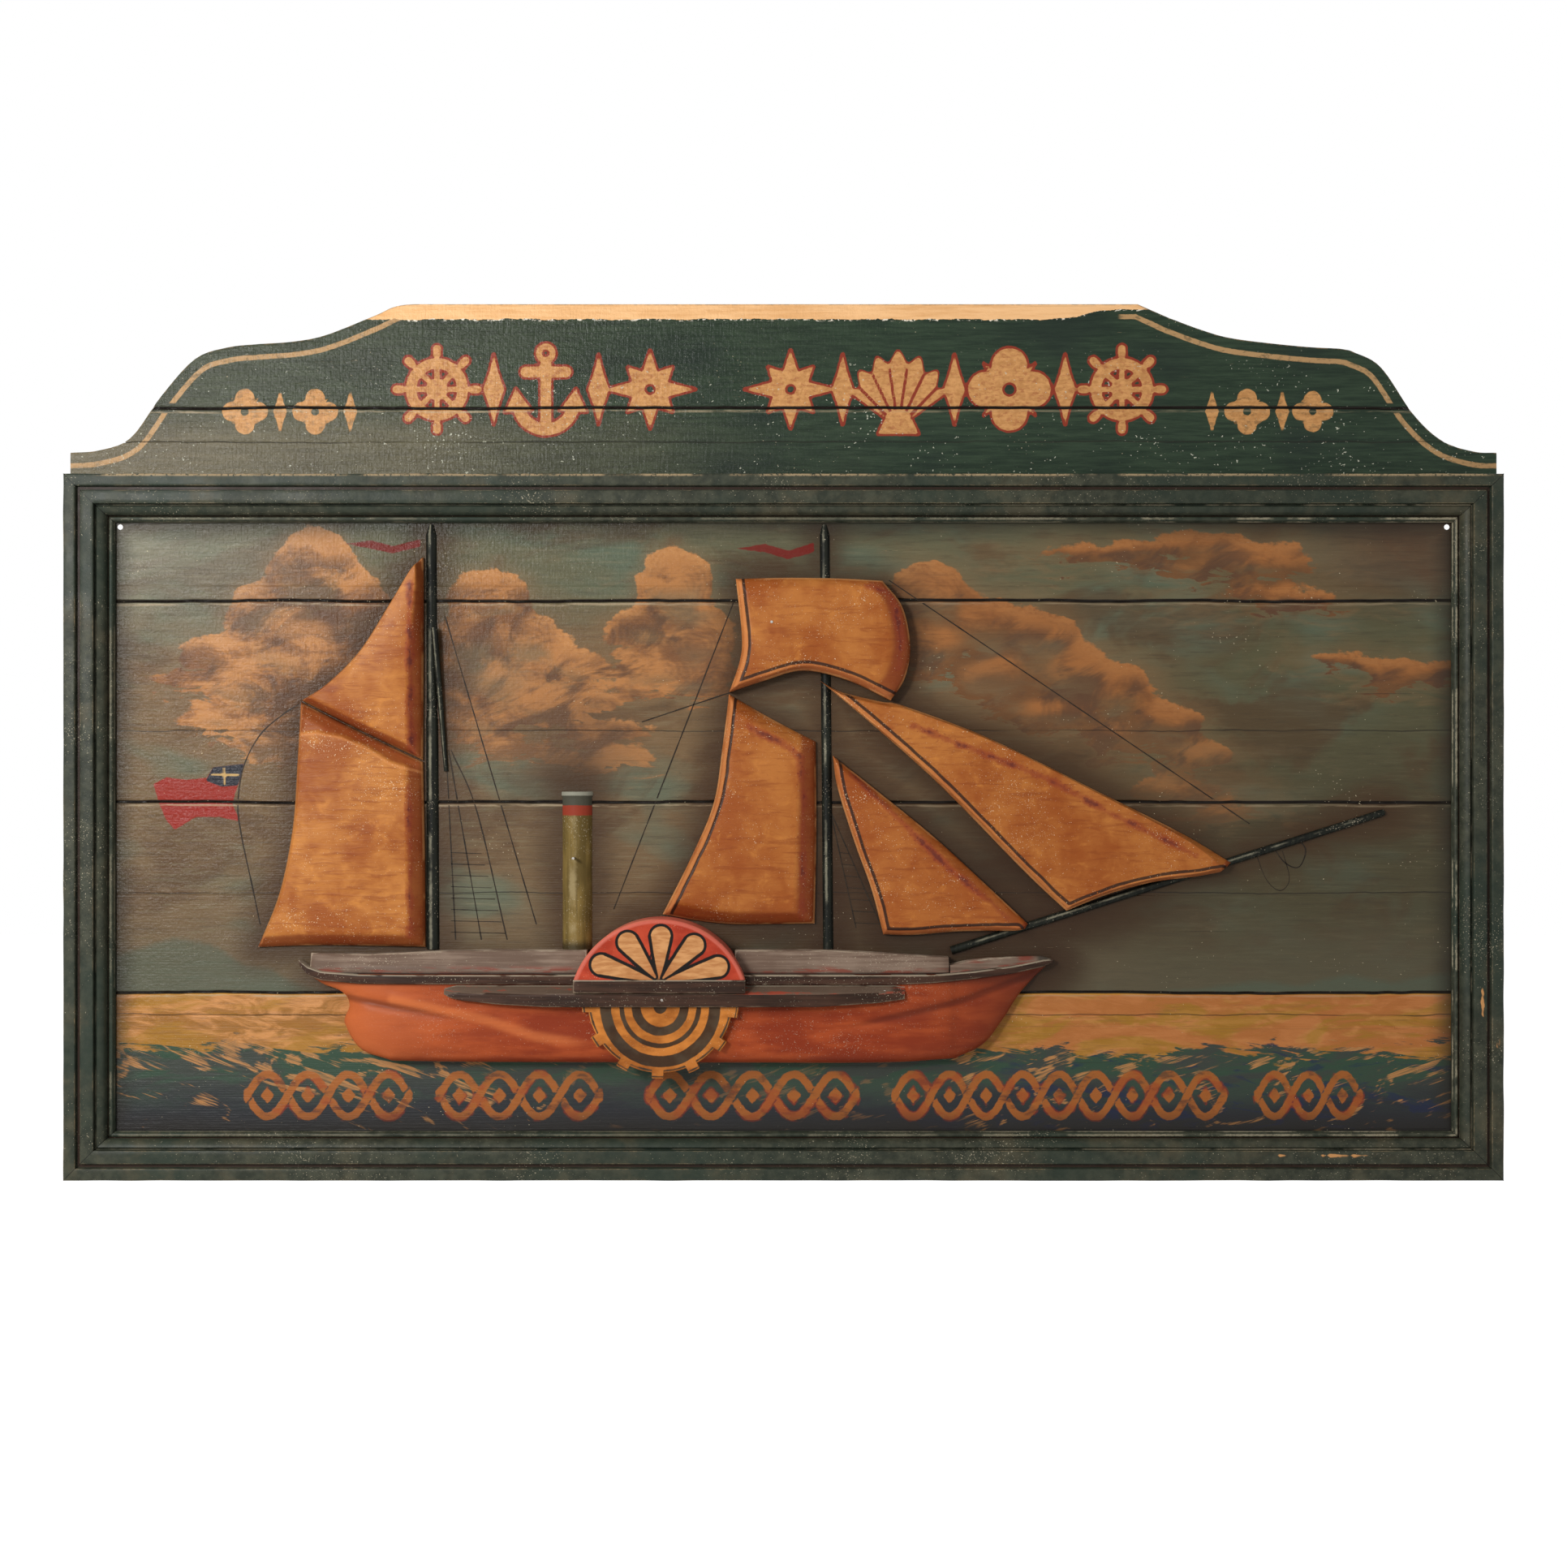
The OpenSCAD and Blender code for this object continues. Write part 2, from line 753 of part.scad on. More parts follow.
// Carved sail: bevels of their own widths along the foot, head, left and right, round a crowned middle
module sail(q, widths, thickness = sail_t, edge_t = 5, middle = 6) {
    belly = 1.5;
    b = widths * sail_bevel;
    rows = middle + 4;
    // Across and up at grid line (j, i): the lines follow the bevels, which keep their width everywhere
    function height_of(u) = norm(patch_at(q, u, 1) - patch_at(q, u, 0));
    function width_of(v) = norm(patch_at(q, 1, v) - patch_at(q, 0, v));
    function up(j, i) = bevel_lines(height_of(bevel_lines(width_of(0.5), b[2], b[3], middle)[j]),
        b[0], b[1], rows)[i];
    relief([for (i = [0:rows + 4])
        [for (j = [0:middle + 4])
            let (v = up(j, i), wide = width_of(v), u = bevel_lines(wide, b[2], b[3], middle)[j],
                tall = height_of(u), p = patch_at(q, u, v),
                share = min(bevelled(u * wide, b[2]), bevelled((1 - u) * wide, b[3]),
                    bevelled(v * tall, b[0]), bevelled((1 - v) * tall, b[1])))
            [p[0], p[1], edge_t + (thickness - edge_t + belly * sin(180 * u) * sin(180 * v)) * share]]]);
}

module gaff_topsail() {
    color("peru")
        sail(gaff_topsail_edges, [0.65, 0.2, 0.2, 0.9]);
}

module aft_mainsail() {
    color("peru")
        sail(aft_mainsail_edges, [0.85, 0.8, 0.3, 1]);
}

// The square sail crosses in front of the fore mast
module square_topsail() {
    color("peru")
        difference() {
            sail(square_topsail_edges, [0.4, 0.5, 0.55, 1.2], thickness = 22, edge_t = 15);
            fore_mast_notch(30, 150);
            pin_holes();
        }
}

module fore_gaff_sail() {
    color("peru")
        sail(fore_gaff_sail_edges, [0.85, 0.9, 0.5, 1.1]);
}

// The outer jib's upper corner crosses the fore mast, and its lower one the bowsprit
module outer_jib() {
    color("peru")
        difference() {
            sail(outer_jib_edges, [0.4, 0.7, 0.4, 0.4], edge_t = 8, middle = 8);
            fore_mast_notch(30, 60);
            bowsprit_notch();
        }
}

module inner_jib() {
    color("peru")
        difference() {
            sail(inner_jib_edges, [0.45, 0.8, 0.4, 0.4], thickness = 14, edge_t = 8);
            bowsprit_notch();
        }
}

// Panel pins whose heads show: x, z, how far in front of the wall the head is
pins = [[-10, 100, board_face + 23], [-217, -216, hull_face + 11], [-102, -218, hull_face + 14],
    [85, -211.5, hull_face + 5], [-178, -100, board_face + 20]];
pin_l = 14;

module pin_holes() {
    for (p = pins)
        translate([p[0], -p[2] + pin_l, p[1]])
            rotate([90, 0, 0])
                cylinder(h = pin_l + 20, r = pin_r, $fn = 16);
}

module relief_pins() {
    color("silver")
        for (p = pins)
            translate([p[0], -p[2] + pin_l, p[1]])
                rotate([90, 0, 0])
                    cylinder(h = pin_l, r = pin_r, $fn = 16);
}

board(1);  // board_1
board(2);  // board_2
board(3);  // board_3
board(4);  // board_4
board(5);  // board_5
board(6);  // board_6
frame_rail("top");  // frame_rail_top
frame_rail("bottom");  // frame_rail_bottom
frame_rail("left");  // frame_rail_left
frame_rail("right");  // frame_rail_right
moulding("top");  // moulding_top
moulding("bottom");  // moulding_bottom
moulding("left");  // moulding_left
moulding("right");  // moulding_right
batten(-1);  // batten_left
batten(0);  // batten_middle
batten(1);  // batten_right
batten_screws();
hull();
bulwark_aft();
bulwark_fore();
bulwark_bow();
rail_aft();
rail_fore();
guard_board();
paddle_box();
paddle_box_sill();
paddle_wheel();
funnel();
aft_mast();
fore_mast();
aft_mast_spar();
bowsprit();
gaff_topsail();
aft_mainsail();
square_topsail();
fore_gaff_sail();
outer_jib();
inner_jib();
relief_pins();
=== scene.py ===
"""Looks for the carved storefront sign: painted boards, moulded frame and a paddle steamer in relief."""

import math

import bmesh
import bpy
import numpy as np
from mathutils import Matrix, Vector


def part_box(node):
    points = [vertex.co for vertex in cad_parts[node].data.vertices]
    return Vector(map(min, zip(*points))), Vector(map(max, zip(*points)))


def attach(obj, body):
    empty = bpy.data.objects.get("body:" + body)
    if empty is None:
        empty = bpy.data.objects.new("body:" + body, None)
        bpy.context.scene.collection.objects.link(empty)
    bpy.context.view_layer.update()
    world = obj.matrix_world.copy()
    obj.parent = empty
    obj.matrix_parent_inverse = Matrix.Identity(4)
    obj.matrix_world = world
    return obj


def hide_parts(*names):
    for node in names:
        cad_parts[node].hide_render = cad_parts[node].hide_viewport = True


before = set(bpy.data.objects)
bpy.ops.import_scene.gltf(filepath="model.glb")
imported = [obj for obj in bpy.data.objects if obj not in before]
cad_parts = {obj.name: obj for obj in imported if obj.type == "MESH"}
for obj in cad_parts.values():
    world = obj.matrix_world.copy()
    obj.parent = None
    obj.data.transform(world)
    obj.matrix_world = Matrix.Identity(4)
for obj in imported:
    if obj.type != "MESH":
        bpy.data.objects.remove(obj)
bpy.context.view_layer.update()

MM = 0.001

# Planes and outlines of the CAD part, in mm


def reach(node):
    """Lowest and highest corner of a CAD node, in mm."""
    low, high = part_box(node)
    return np.array(low) / MM, np.array(high) / MM


BOARD_BACK = -reach("board_3")[1][1]
BOARD_FACE = -reach("board_3")[0][1]
HULL_FACE = -reach("hull")[0][1]
CREST_Z = reach("board_1")[1][2]
BOARD_HALF = reach("board_2")[1][0]
FRAME_LOW = reach("frame_rail_left")[0]
FRAME_HIGH = reach("frame_rail_right")[1]
GROOVES = [284, 119.5, -52.5, -215]
HAIRLINES = [255, 8.5, -130, -234]
GROOVE_HALF, GROOVE_SLOPE = 1.7, 0.85
OPENING_INSET = 40
WALL_HOLES = [(-566.4, 182.4), (566.4, 182.4)]
WALL_HOLE_R = 2.4
# Behind the face the holes lean outward and are worn wider, so that the wall shows through them
HOLE_LEAN, HOLE_FLARE = 3.6, 1.6
SHEER_Z = -198
DECK_Z = -178

# The painted header ends at this height, and the sky at the horizon
HEADER_FOOT = 205.0
HORIZON = float(GROOVES[3])

SAILS = {
    "gaff_topsail": [
        [[-411, 34], [-360, 8], [-307.5, -17]],
        [[-309.5, 154], [-308.5, 155.5], [-307, 156]],
        [[-411, 34], [-388, 49.5], [-361, 77], [-335, 118], [-318, 146], [-309.5, 154]],
        [[-307.5, -17], [-307, 70], [-307, 156]]],
    "aft_mainsail": [
        [[-448, -176], [-400, -174.5], [-350, -175], [-305.5, -176]],
        [[-411.5, 33], [-360, 7], [-307.5, -18]],
        [[-448, -176], [-429.5, -129], [-418.5, -74], [-414.5, -19], [-411.5, 33]],
        [[-305.5, -176], [-306, -97], [-307.5, -18]]],
    "square_topsail": [
        [[-46, 41], [-16, 51], [17, 59.5], [55, 51], [91, 34]],
        [[-40.5, 137], [0, 138], [45, 137.5], [84, 135.5]],
        [[-46, 41], [-37, 68], [-35.5, 90], [-40.5, 137]],
        [[91, 34], [103, 53], [107.5, 80], [101, 113], [84, 135.5]]],
    "fore_gaff_sail": [
        [[-103, -148], [-76, -153], [-45, -156.5], [-10, -156.5], [26.5, -156]],
        [[-46.5, 39.5], [-10, 18.5], [27.5, -1]],
        [[-103, -148], [-78, -98], [-59.5, -53], [-52, -5], [-46.5, 39.5]],
        [[26.5, -156], [28, -80], [27.5, -1]]],
    "outer_jib": [
        [[241, -145], [276, -131], [315, -120.5], [350, -116], [372, -112]],
        [[31, 51], [45, 43], [62, 38], [84, 33], [104, 29], [176, 1.5], [272, -45.5], [340, -79.5],
         [381, -104]],
        [[241, -145], [205, -111], [135, -39.5], [80, 10], [31, 51]],
        [[372, -112], [377, -108], [381, -104]]],
    "inner_jib": [
        [[85, -165], [110, -165.5], [150, -162.5], [198, -162]],
        [[42, -13], [80, -43], [128, -82], [175, -125], [208, -156]],
        [[85, -165], [75, -127], [60, -85], [46, -40], [42, -13]],
        [[198, -162], [205, -160.5], [208, -156]]],
}
HULL_EDGES = [
    [[-332, -272], [-250, -273], [-60, -273.5], [80, -273.5], [146, -270]],
    [[-403, -200], [-376, SHEER_Z], [-200, SHEER_Z], [60, SHEER_Z], [140, -197.5], [185, -193],
     [228, -188]],
    [[-332, -272], [-359, -262], [-373, -240], [-369, -225], [-375, -214], [-392, -207], [-403, -200]],
    [[146, -270], [170, -258], [187, -237], [203, -213], [228, -188]]]
AFT_MAST = [(-299.2, -178), (-300.8, 184.5)]
FORE_MAST = [(38.2, -178), (35, 184.5)]
BOWSPRIT = [(143, -179.1), (512.6, -61.1)]
BOX_X, BOX_Z, BOX_R = -104, -226, 76
FUNNEL_X, FUNNEL_TOP = -176, -43.5

# Half widths of the spars and the funnel, for the dark glaze and painted shade round them
AFT_MAST_R, FORE_MAST_R, BOWSPRIT_R, FUNNEL_R = 5, 4.5, 3, 14


# Numbers and curves


def rgb(r, g, b):
    """Shader colour of an sRGB colour from 0 to 255."""
    parts = [c / 255 for c in (r, g, b)]
    return tuple(c / 12.92 if c <= 0.04045 else ((c + 0.055) / 1.055) ** 2.4 for c in parts) + (1.0,)


def lattice(ix, iz, seed):
    """Repeatable value from -1 to 1 for each whole-number cell."""
    n = ix.astype(np.int64) * 374761393 + iz.astype(np.int64) * 668265263 + seed * 974634777
    n = (n ^ (n >> 13)) * 1274126177 & 0xFFFFFFFF
    return ((n ^ (n >> 16)) & 0xFFFF) / 32767.5 - 1


def ripple(x, z, size, seed):
    """Smooth repeatable unevenness from -1 to 1 that changes over about size mm."""
    x, z = np.asarray(x, float) / size, np.asarray(z, float) / size
    x, z = np.broadcast_arrays(x, z)
    ix, iz = np.floor(x), np.floor(z)
    fx, fz = x - ix, z - iz
    fx, fz = fx * fx * (3 - 2 * fx), fz * fz * (3 - 2 * fz)
    low = lattice(ix, iz, seed) * (1 - fx) + lattice(ix + 1, iz, seed) * fx
    high = lattice(ix, iz + 1, seed) * (1 - fx) + lattice(ix + 1, iz + 1, seed) * fx
    return low * (1 - fz) + high * fz


def smooth(low, high, value):
    """0 below low, 1 above high, and a smooth rise between them."""
    t = np.clip((value - low) / (high - low), 0, 1)
    return t * t * (3 - 2 * t)


def rounded(distance, r):
    """Share of full height at a distance inside a rounded edge of radius r."""
    return np.sqrt(np.maximum(0, 1 - (1 - np.clip(distance / r, 0, 1)) ** 2))


def eased(distance, drop, r):
    """How far a face lies back at a distance from its edge, drop deep there and rounded with radius r."""
    return drop * (1 - rounded(distance, r))


def uneven(x, z, depth, size, seed):
    """How far hand work lies back, depth on average, in waves of about size mm."""
    return depth * (1 + ripple(x, z, size, seed))


def curve_at(points, t):
    """Points at shares t of the way along a smooth curve."""
    p = np.asarray(points, float)
    p = np.vstack([2 * p[0] - p[1], p, 2 * p[-1] - p[-2]])
    s = np.clip(t, 0, 1) * (len(p) - 3)
    i = np.minimum(np.floor(s).astype(int), len(p) - 4)
    f = (s - i)[..., None]
    a, b, c, d = p[i], p[i + 1], p[i + 2], p[i + 3]
    cubic = (3 * b - a - 3 * c + d) * f ** 3
    return 0.5 * (2 * b + (c - a) * f + (2 * a - 5 * b + 4 * c - d) * f * f + cubic)


def curve(points, n):
    """The whole curve as n short sides."""
    return curve_at(points, np.linspace(0, 1, n + 1))


def arc_points(cx, cz, r, start, end, n):
    """n points along an arc, between two angles in degrees."""
    return [(cx + r * math.cos(math.radians(a)), cz + r * math.sin(math.radians(a)))
            for a in np.linspace(start, end, n)]


def height_at(points, x):
    """Height of a polyline at x."""
    p = np.asarray(points, float)
    return np.interp(x, p[:, 0], p[:, 1])


def gathered(n, share):
    """n + 1 values from 0 to 1 that lie closer together at both ends."""
    t = np.linspace(0, 1, n + 1)
    return t - share * np.sin(2 * np.pi * t) / (2 * np.pi)


def patch_at(edges, u, v):
    """Points of a patch between foot, head, left and right curves, for shares u across and v up."""
    foot, head, left, right = (np.asarray(e, float) for e in edges)
    u, v = np.broadcast_arrays(u, v)
    across = (1 - v)[..., None] * curve_at(foot, u) + v[..., None] * curve_at(head, u)
    up = (1 - u)[..., None] * curve_at(left, v) + u[..., None] * curve_at(right, v)
    corners = (
        ((1 - u) * (1 - v))[..., None] * foot[0] + (u * (1 - v))[..., None] * foot[-1]
        + ((1 - u) * v)[..., None] * head[0] + (u * v)[..., None] * head[-1]
    )
    return across + up - corners


def outline(edges, n=6):
    """Closed outline of a patch, n sides to an edge."""
    foot, head, left, right = (curve(e, n) for e in edges)
    return np.vstack([foot[:-1], right[:-1], head[:0:-1], left[:0:-1]])


# Distances in the plane of the boards


def to_line(x, z, points):
    """Distance from each place to a polyline."""
    best = np.full(np.shape(x), 1e9)
    for (ax, az), (bx, bz) in zip(points[:-1], points[1:]):
        dx, dz = bx - ax, bz - az
        t = np.clip(((x - ax) * dx + (z - az) * dz) / (dx * dx + dz * dz + 1e-9), 0, 1)
        best = np.minimum(best, np.hypot(x - ax - t * dx, z - az - t * dz))
    return best


def to_shape(x, z, corners):
    """Distance to a closed outline, below 0 inside it."""
    loop = list(corners) + [corners[0]]
    inside = np.zeros(np.shape(x), bool)
    for (ax, az), (bx, bz) in zip(loop[:-1], loop[1:]):
        if az != bz:
            inside ^= ((az > z) != (bz > z)) & (x < (bx - ax) * (z - az) / (bz - az) + ax)
    return np.where(inside, -1, 1) * to_line(x, z, loop)


def side_of(x, z, points):
    """Distance to a polyline drawn with rising x, below 0 under it."""
    return np.sign(z - height_at(points, x)) * to_line(x, z, points)


# Painted motifs: each gives the distance to a shape of half height s round the origin


def folded(x, z, count):
    """Distances along and beside the nearest of count even spokes."""
    r = np.hypot(x, z)
    half = math.pi / count
    a = (np.arctan2(x, z) + half) % (2 * half) - half
    return r * np.cos(a), np.abs(r * np.sin(a))


def star(x, z, s):
    """Compass star with two long and six shorter points."""
    corners = []
    for i in range(16):
        r = s * (0.42 if i % 2 else (0.7, 1, 0.7, 0.86)[i // 2 % 4 - 1])
        corners.append((r * math.sin(math.pi * i / 8), r * math.cos(math.pi * i / 8)))
    return np.maximum(to_shape(x, z, corners), 0.12 * s - np.hypot(x, z))


def lozenge(x, z, s):
    """Lozenge with sides that curve in a little."""
    w, bow = 0.3 * s, 0.46
    return to_shape(x, z, [(0, s), (w * bow, s * bow), (w, 0), (w * bow, -s * bow), (0, -s),
                           (-w * bow, -s * bow), (-w, 0), (-w * bow, s * bow)])


def quatrefoil(x, z, s):
    """Four round leaves about an open eye, with points between them."""
    along, aside = folded(x, z, 4)
    leaf = np.hypot(along - 0.56 * s, aside) - 0.42 * s
    along, aside = folded((x + z) * 0.7071, (x - z) * 0.7071, 4)
    thorn = np.maximum(aside - 0.16 * s * (1 - along / (0.86 * s)), along - 0.86 * s)
    return np.maximum(np.minimum(leaf, thorn), 0.17 * s - np.hypot(x, z))


def ship_wheel(x, z, s):
    """Steering wheel with eight handles."""
    r = np.hypot(x, z)
    along, aside = folded(x, z, 8)
    rim = np.abs(r - 0.58 * s) - 0.12 * s
    spoke = np.maximum(aside - 0.06 * s, along - 0.9 * s)
    grip = np.hypot(np.maximum(0, np.abs(along - 0.86 * s) - 0.05 * s), aside) - 0.09 * s
    return np.minimum.reduce([rim, spoke, grip, np.maximum(r - 0.24 * s, 0.08 * s - r)])


def shell(x, z, s):
    """Scallop shell with cut ribs, on a small hinge."""
    px, pz = x * 1.12, z + 0.86 * s
    r, a = np.hypot(px, pz), np.arctan2(px, pz)
    pitch = math.radians(19)
    nearest_rib = (np.floor(a / pitch) + 0.5) * pitch
    brim = s * (1.6 + 0.12 * np.cos(2 * math.pi * a / pitch) - 0.2 * np.abs(a))
    fan = np.maximum(r - brim, (np.abs(a) - math.radians(57)) * r)
    rib = r * np.abs(np.sin(a - nearest_rib)) - 0.035 * s
    fan = np.maximum(fan, np.minimum(-rib, 1.35 * s - r) * (r > 0.4 * s) - 9.0 * (r <= 0.4 * s))
    hinge = to_shape(x, z, [(-0.46 * s, -s), (-0.3 * s, -0.66 * s), (0.3 * s, -0.66 * s), (0.46 * s, -s)])
    return np.minimum(fan, hinge)


def anchor(x, z, s):
    """Plain stocked anchor."""
    bar = s * 0.12
    arc = [(s * 0.6 * math.sin(a), -s * 0.3 - s * 0.58 * math.cos(a)) for a in np.linspace(-1.3, 1.3, 13)]
    shank = to_line(x, z, [(0, s * 0.58), (0, -s * 0.85)]) - bar
    stock = to_line(x, z, [(-s * 0.44, s * 0.38), (s * 0.44, s * 0.38)]) - bar
    ring = np.abs(np.hypot(x, z - s * 0.79) - s * 0.15) - bar * 0.55
    flukes = [to_shape(x, z, [(i * s * 0.9, -s * 0.5), (i * s * 0.66, s * 0.02), (i * s * 0.3, -s * 0.46)])
              for i in (-1, 1)]
    return np.minimum.reduce([shank, stock, to_line(x, z, arc) - bar * 1.1, ring] + flukes)


# The painted picture, as one number for each place of the boards and each motif

CREST_LEFT = np.vstack([
    curve([[-609, 246], [-585, 248], [-558, 258.5], [-532, 294], [-503, 326], [-475, 336],
           [-447, 339]], 30),
    curve([[-447, 339], [-419, 341], [-391, 346.5], [-350, 363], [-336, 370], [-326, 372.7],
           [-316, CREST_Z]], 20)[1:]])
CREST_RIGHT = np.vstack([
    [[303, CREST_Z]],
    curve([[330, 361], [357, 351], [385, 343.5], [441, 337], [475, 335]], 20),
    curve([[484, 333.5], [510, 319.5], [538, 279], [563, 256], [590, 247], [609, 246]], 28)])
CREST = np.vstack([CREST_LEFT, CREST_RIGHT])

# Big and small ornaments of the header: motif, x, z and half height
ORNAMENTS = [(ship_wheel, -296, 300, 38), (lozenge, -247.5, 300, 30), (anchor, -203, 300, 39),
             (lozenge, -158, 300, 30), (star, -114, 300, 39), (star, 6, 300, 39), (lozenge, 50.5, 300, 30),
             (shell, 98, 300, 38), (lozenge, 146, 300, 30), (quatrefoil, 193, 300, 36),
             (lozenge, 240.5, 300, 30), (ship_wheel, 289, 300, 38)]
PLAIN_ORNAMENTS = [(motif, x, 281, s) for x, motif, s in (
    (-460, quatrefoil, 20), (-430, lozenge, 20), (-400, quatrefoil, 20), (-370, lozenge, 20),
    (366, lozenge, 20), (396, quatrefoil, 20), (426, lozenge, 20), (452, quatrefoil, 18))]

# Interlaced band along the bottom, in groups from left to right end
BAND_GROUPS = [(-458, -320), (-294, -157), (-115, 62), (95, 376), (405, 492)]
BAND_Z, BAND_RISE, BAND_T, BAND_PITCH = -303, 18, 6.4, 33

# Cloud puffs: x, z and half sizes across and up
PUFFS = [
    (-402, 142, 38, 40), (-446, 110, 30, 28), (-366, 106, 32, 34), (-420, 78, 44, 34),
    (-492, 72, 30, 20), (-372, 56, 40, 32), (-458, 44, 40, 26), (-522, 50, 26, 10),
    (-404, 22, 44, 26), (-484, 14, 34, 14), (-436, -8, 40, 16), (-360, -4, 30, 20),
    (-254, 120, 36, 32), (-270, 84, 32, 30), (-222, 82, 34, 26), (-246, 48, 42, 28),
    (-186, 64, 30, 20), (-212, 28, 38, 20), (-164, 34, 30, 11), (-262, 12, 34, 18),
    (-232, -12, 44, 11), (-148, 6, 38, 10), (-90, 126, 34, 38), (-124, 94, 28, 22),
    (-78, 84, 34, 28), (-106, 58, 34, 22), (-62, 54, 26, 20), (-140, -18, 34, 9),
    (128, 122, 38, 32), (168, 94, 36, 30), (126, 78, 32, 26), (216, 86, 32, 32),
    (186, 52, 42, 28), (246, 58, 32, 26), (284, 40, 32, 26), (232, 22, 42, 20),
    (322, 14, 34, 22), (284, -4, 42, 16), (354, -16, 34, 14), (330, -44, 44, 10),
    (374, -62, 38, 8), (300, 160, 66, 7), (362, 164, 62, 13), (400, 146, 42, 18),
    (342, 146, 58, 8), (444, 116, 34, 10), (398, 118, 40, 7), (488, 66, 34, 7),
    (524, 52, 34, 12), (558, 60, 22, 6)]

HILLS = [(-600, -189), (-560, -178), (-520, -168), (-490, -174), (-455, -190), (-420, -202),
         (-390, -214), (-300, -216), (300, -216), (360, -211), (400, -204), (440, -206),
         (480, -199), (520, -203), (560, -194), (600, -196)]

# Distances to painted shapes, and to the carved pieces, are told apart up to here, in mm
FAR, FAR_FROM_RELIEF = 40.0, 60.0


def ornament(x, z, motifs):
    """Distance to the nearest of a list of motifs."""
    best = np.full(x.shape, FAR)
    margin = 12
    for motif, cx, cz, s in motifs:
        near = (np.abs(x - cx) < s + margin) & (np.abs(z - cz) < s + margin)
        best[near] = np.minimum(best[near], motif(x[near] - cx, z[near] - cz, s))
    return best


def guilloche(x, z):
    """Distance to two interlaced ribbons with a lozenge in each eye."""
    best = np.full(x.shape, FAR)
    gap, eye_w, eye_h, eye_slope = 1.3, 6, 7, 4.5
    for left, right in BAND_GROUPS:
        near = (x > left - 8) & (x < right + 8) & (z < BAND_Z + BAND_RISE + 12)
        px, pz = x[near], z[near] - BAND_Z
        count = round((right - left) / BAND_PITCH)
        phase = np.pi * count * (np.clip(px, left, right) - left) / (right - left)
        swing = BAND_RISE * np.sin(phase)
        lean = np.hypot(1, BAND_RISE * np.pi / BAND_PITCH * np.cos(phase))
        past = np.maximum(0, np.maximum(left - px, px - right))
        one, two = (np.hypot((pz - way * swing) / lean, past) - BAND_T / 2 for way in (1, -1))
        crossed = np.where(np.cos(phase) > 0, np.minimum(one, np.maximum(two, gap - one)),
                           np.minimum(two, np.maximum(one, gap - two)))
        middle = (phase / np.pi % 1 - 0.5) * BAND_PITCH
        eye = (np.abs(middle) / eye_w + np.abs(pz) / eye_h - 1) * eye_slope
        best[near] = np.minimum.reduce([best[near], crossed, eye])
    return best


def clouds(x, z):
    """Distance inside the clouds, height inside their puffs, and distance from a puff's middle, in mm."""
    wx = x + 7 * ripple(x, z, 44, 3) + 3 * ripple(x, z, 17, 4)
    wz = z + 5 * ripple(x, z, 34, 5) + 2 * ripple(x, z, 13, 6)
    blend = 6.0
    total, lift, arc = np.full(x.shape, 1e-9), np.zeros(x.shape), np.zeros(x.shape)
    for cx, cz, rx, rz in PUFFS:
        ex, ez = (wx - cx) / rx, (wz - cz) / rz
        e = np.hypot(ex, ez)
        weight = np.exp(np.clip((1 - e) * min(rx, rz) / blend, -18, 18))
        total += weight
        lift += weight * np.clip(ez, -2, 2)
        arc += weight * e * math.sqrt(rx * rz)
    return blend * np.log(total) - 0.5, lift / total, arc / total


def ensign(x, z):
    """Distances to the red flags, to the ensign's dark corner and to the cross on it."""
    flag = to_shape(x, z, [
        (-538, -37), (-527, -31.5), (-509, -33.5), (-492, -31.5), (-487, -23), (-461, -20), (-466, -38),
        (-471, -54), (-464, -69), (-482, -65), (-502, -65), (-520, -76), (-527, -68), (-533, -54)])
    tails = [[(-374, 168), (-352, 171), (-334, 166), (-310, 172), (-310, 166), (-334, 160), (-352, 164)],
             [(-40, 164), (-16, 168), (4, 162), (26, 169), (26, 161), (4, 155), (-16, 161)]]
    for tail in tails:
        flag = np.minimum(flag, to_shape(x, z, tail))
    corner = to_shape(x, z, [(-493, -34), (-487, -23), (-461, -20), (-466, -38), (-480, -39)])
    bars = [[(-492, -28.5), (-463, -29.5)], [(-478, -21), (-477.5, -39)]]
    cross = np.minimum.reduce([to_line(x, z, bar) for bar in bars]) - 0.9
    return flag, corner, np.maximum(cross, corner + 1.2)


def near_relief(x, z):
    """Distance to the nearest carved piece, below 0 under it."""
    box = [(BOX_X + BOX_R * math.cos(a), BOX_Z + BOX_R * math.sin(a)) for a in np.linspace(0.2, 2.94, 12)]
    shapes = [outline(e) for e in SAILS.values()] + [outline(HULL_EDGES, 10), box]
    found = [to_shape(x, z, shape) for shape in shapes]
    funnel = [(FUNNEL_X, DECK_Z), (FUNNEL_X, FUNNEL_TOP - 2.5)]
    found += [to_line(x, z, line) - r for line, r in (
        (AFT_MAST, AFT_MAST_R), (FORE_MAST, FORE_MAST_R), (BOWSPRIT, BOWSPRIT_R), (funnel, FUNNEL_R))]
    return np.minimum.reduce(found)


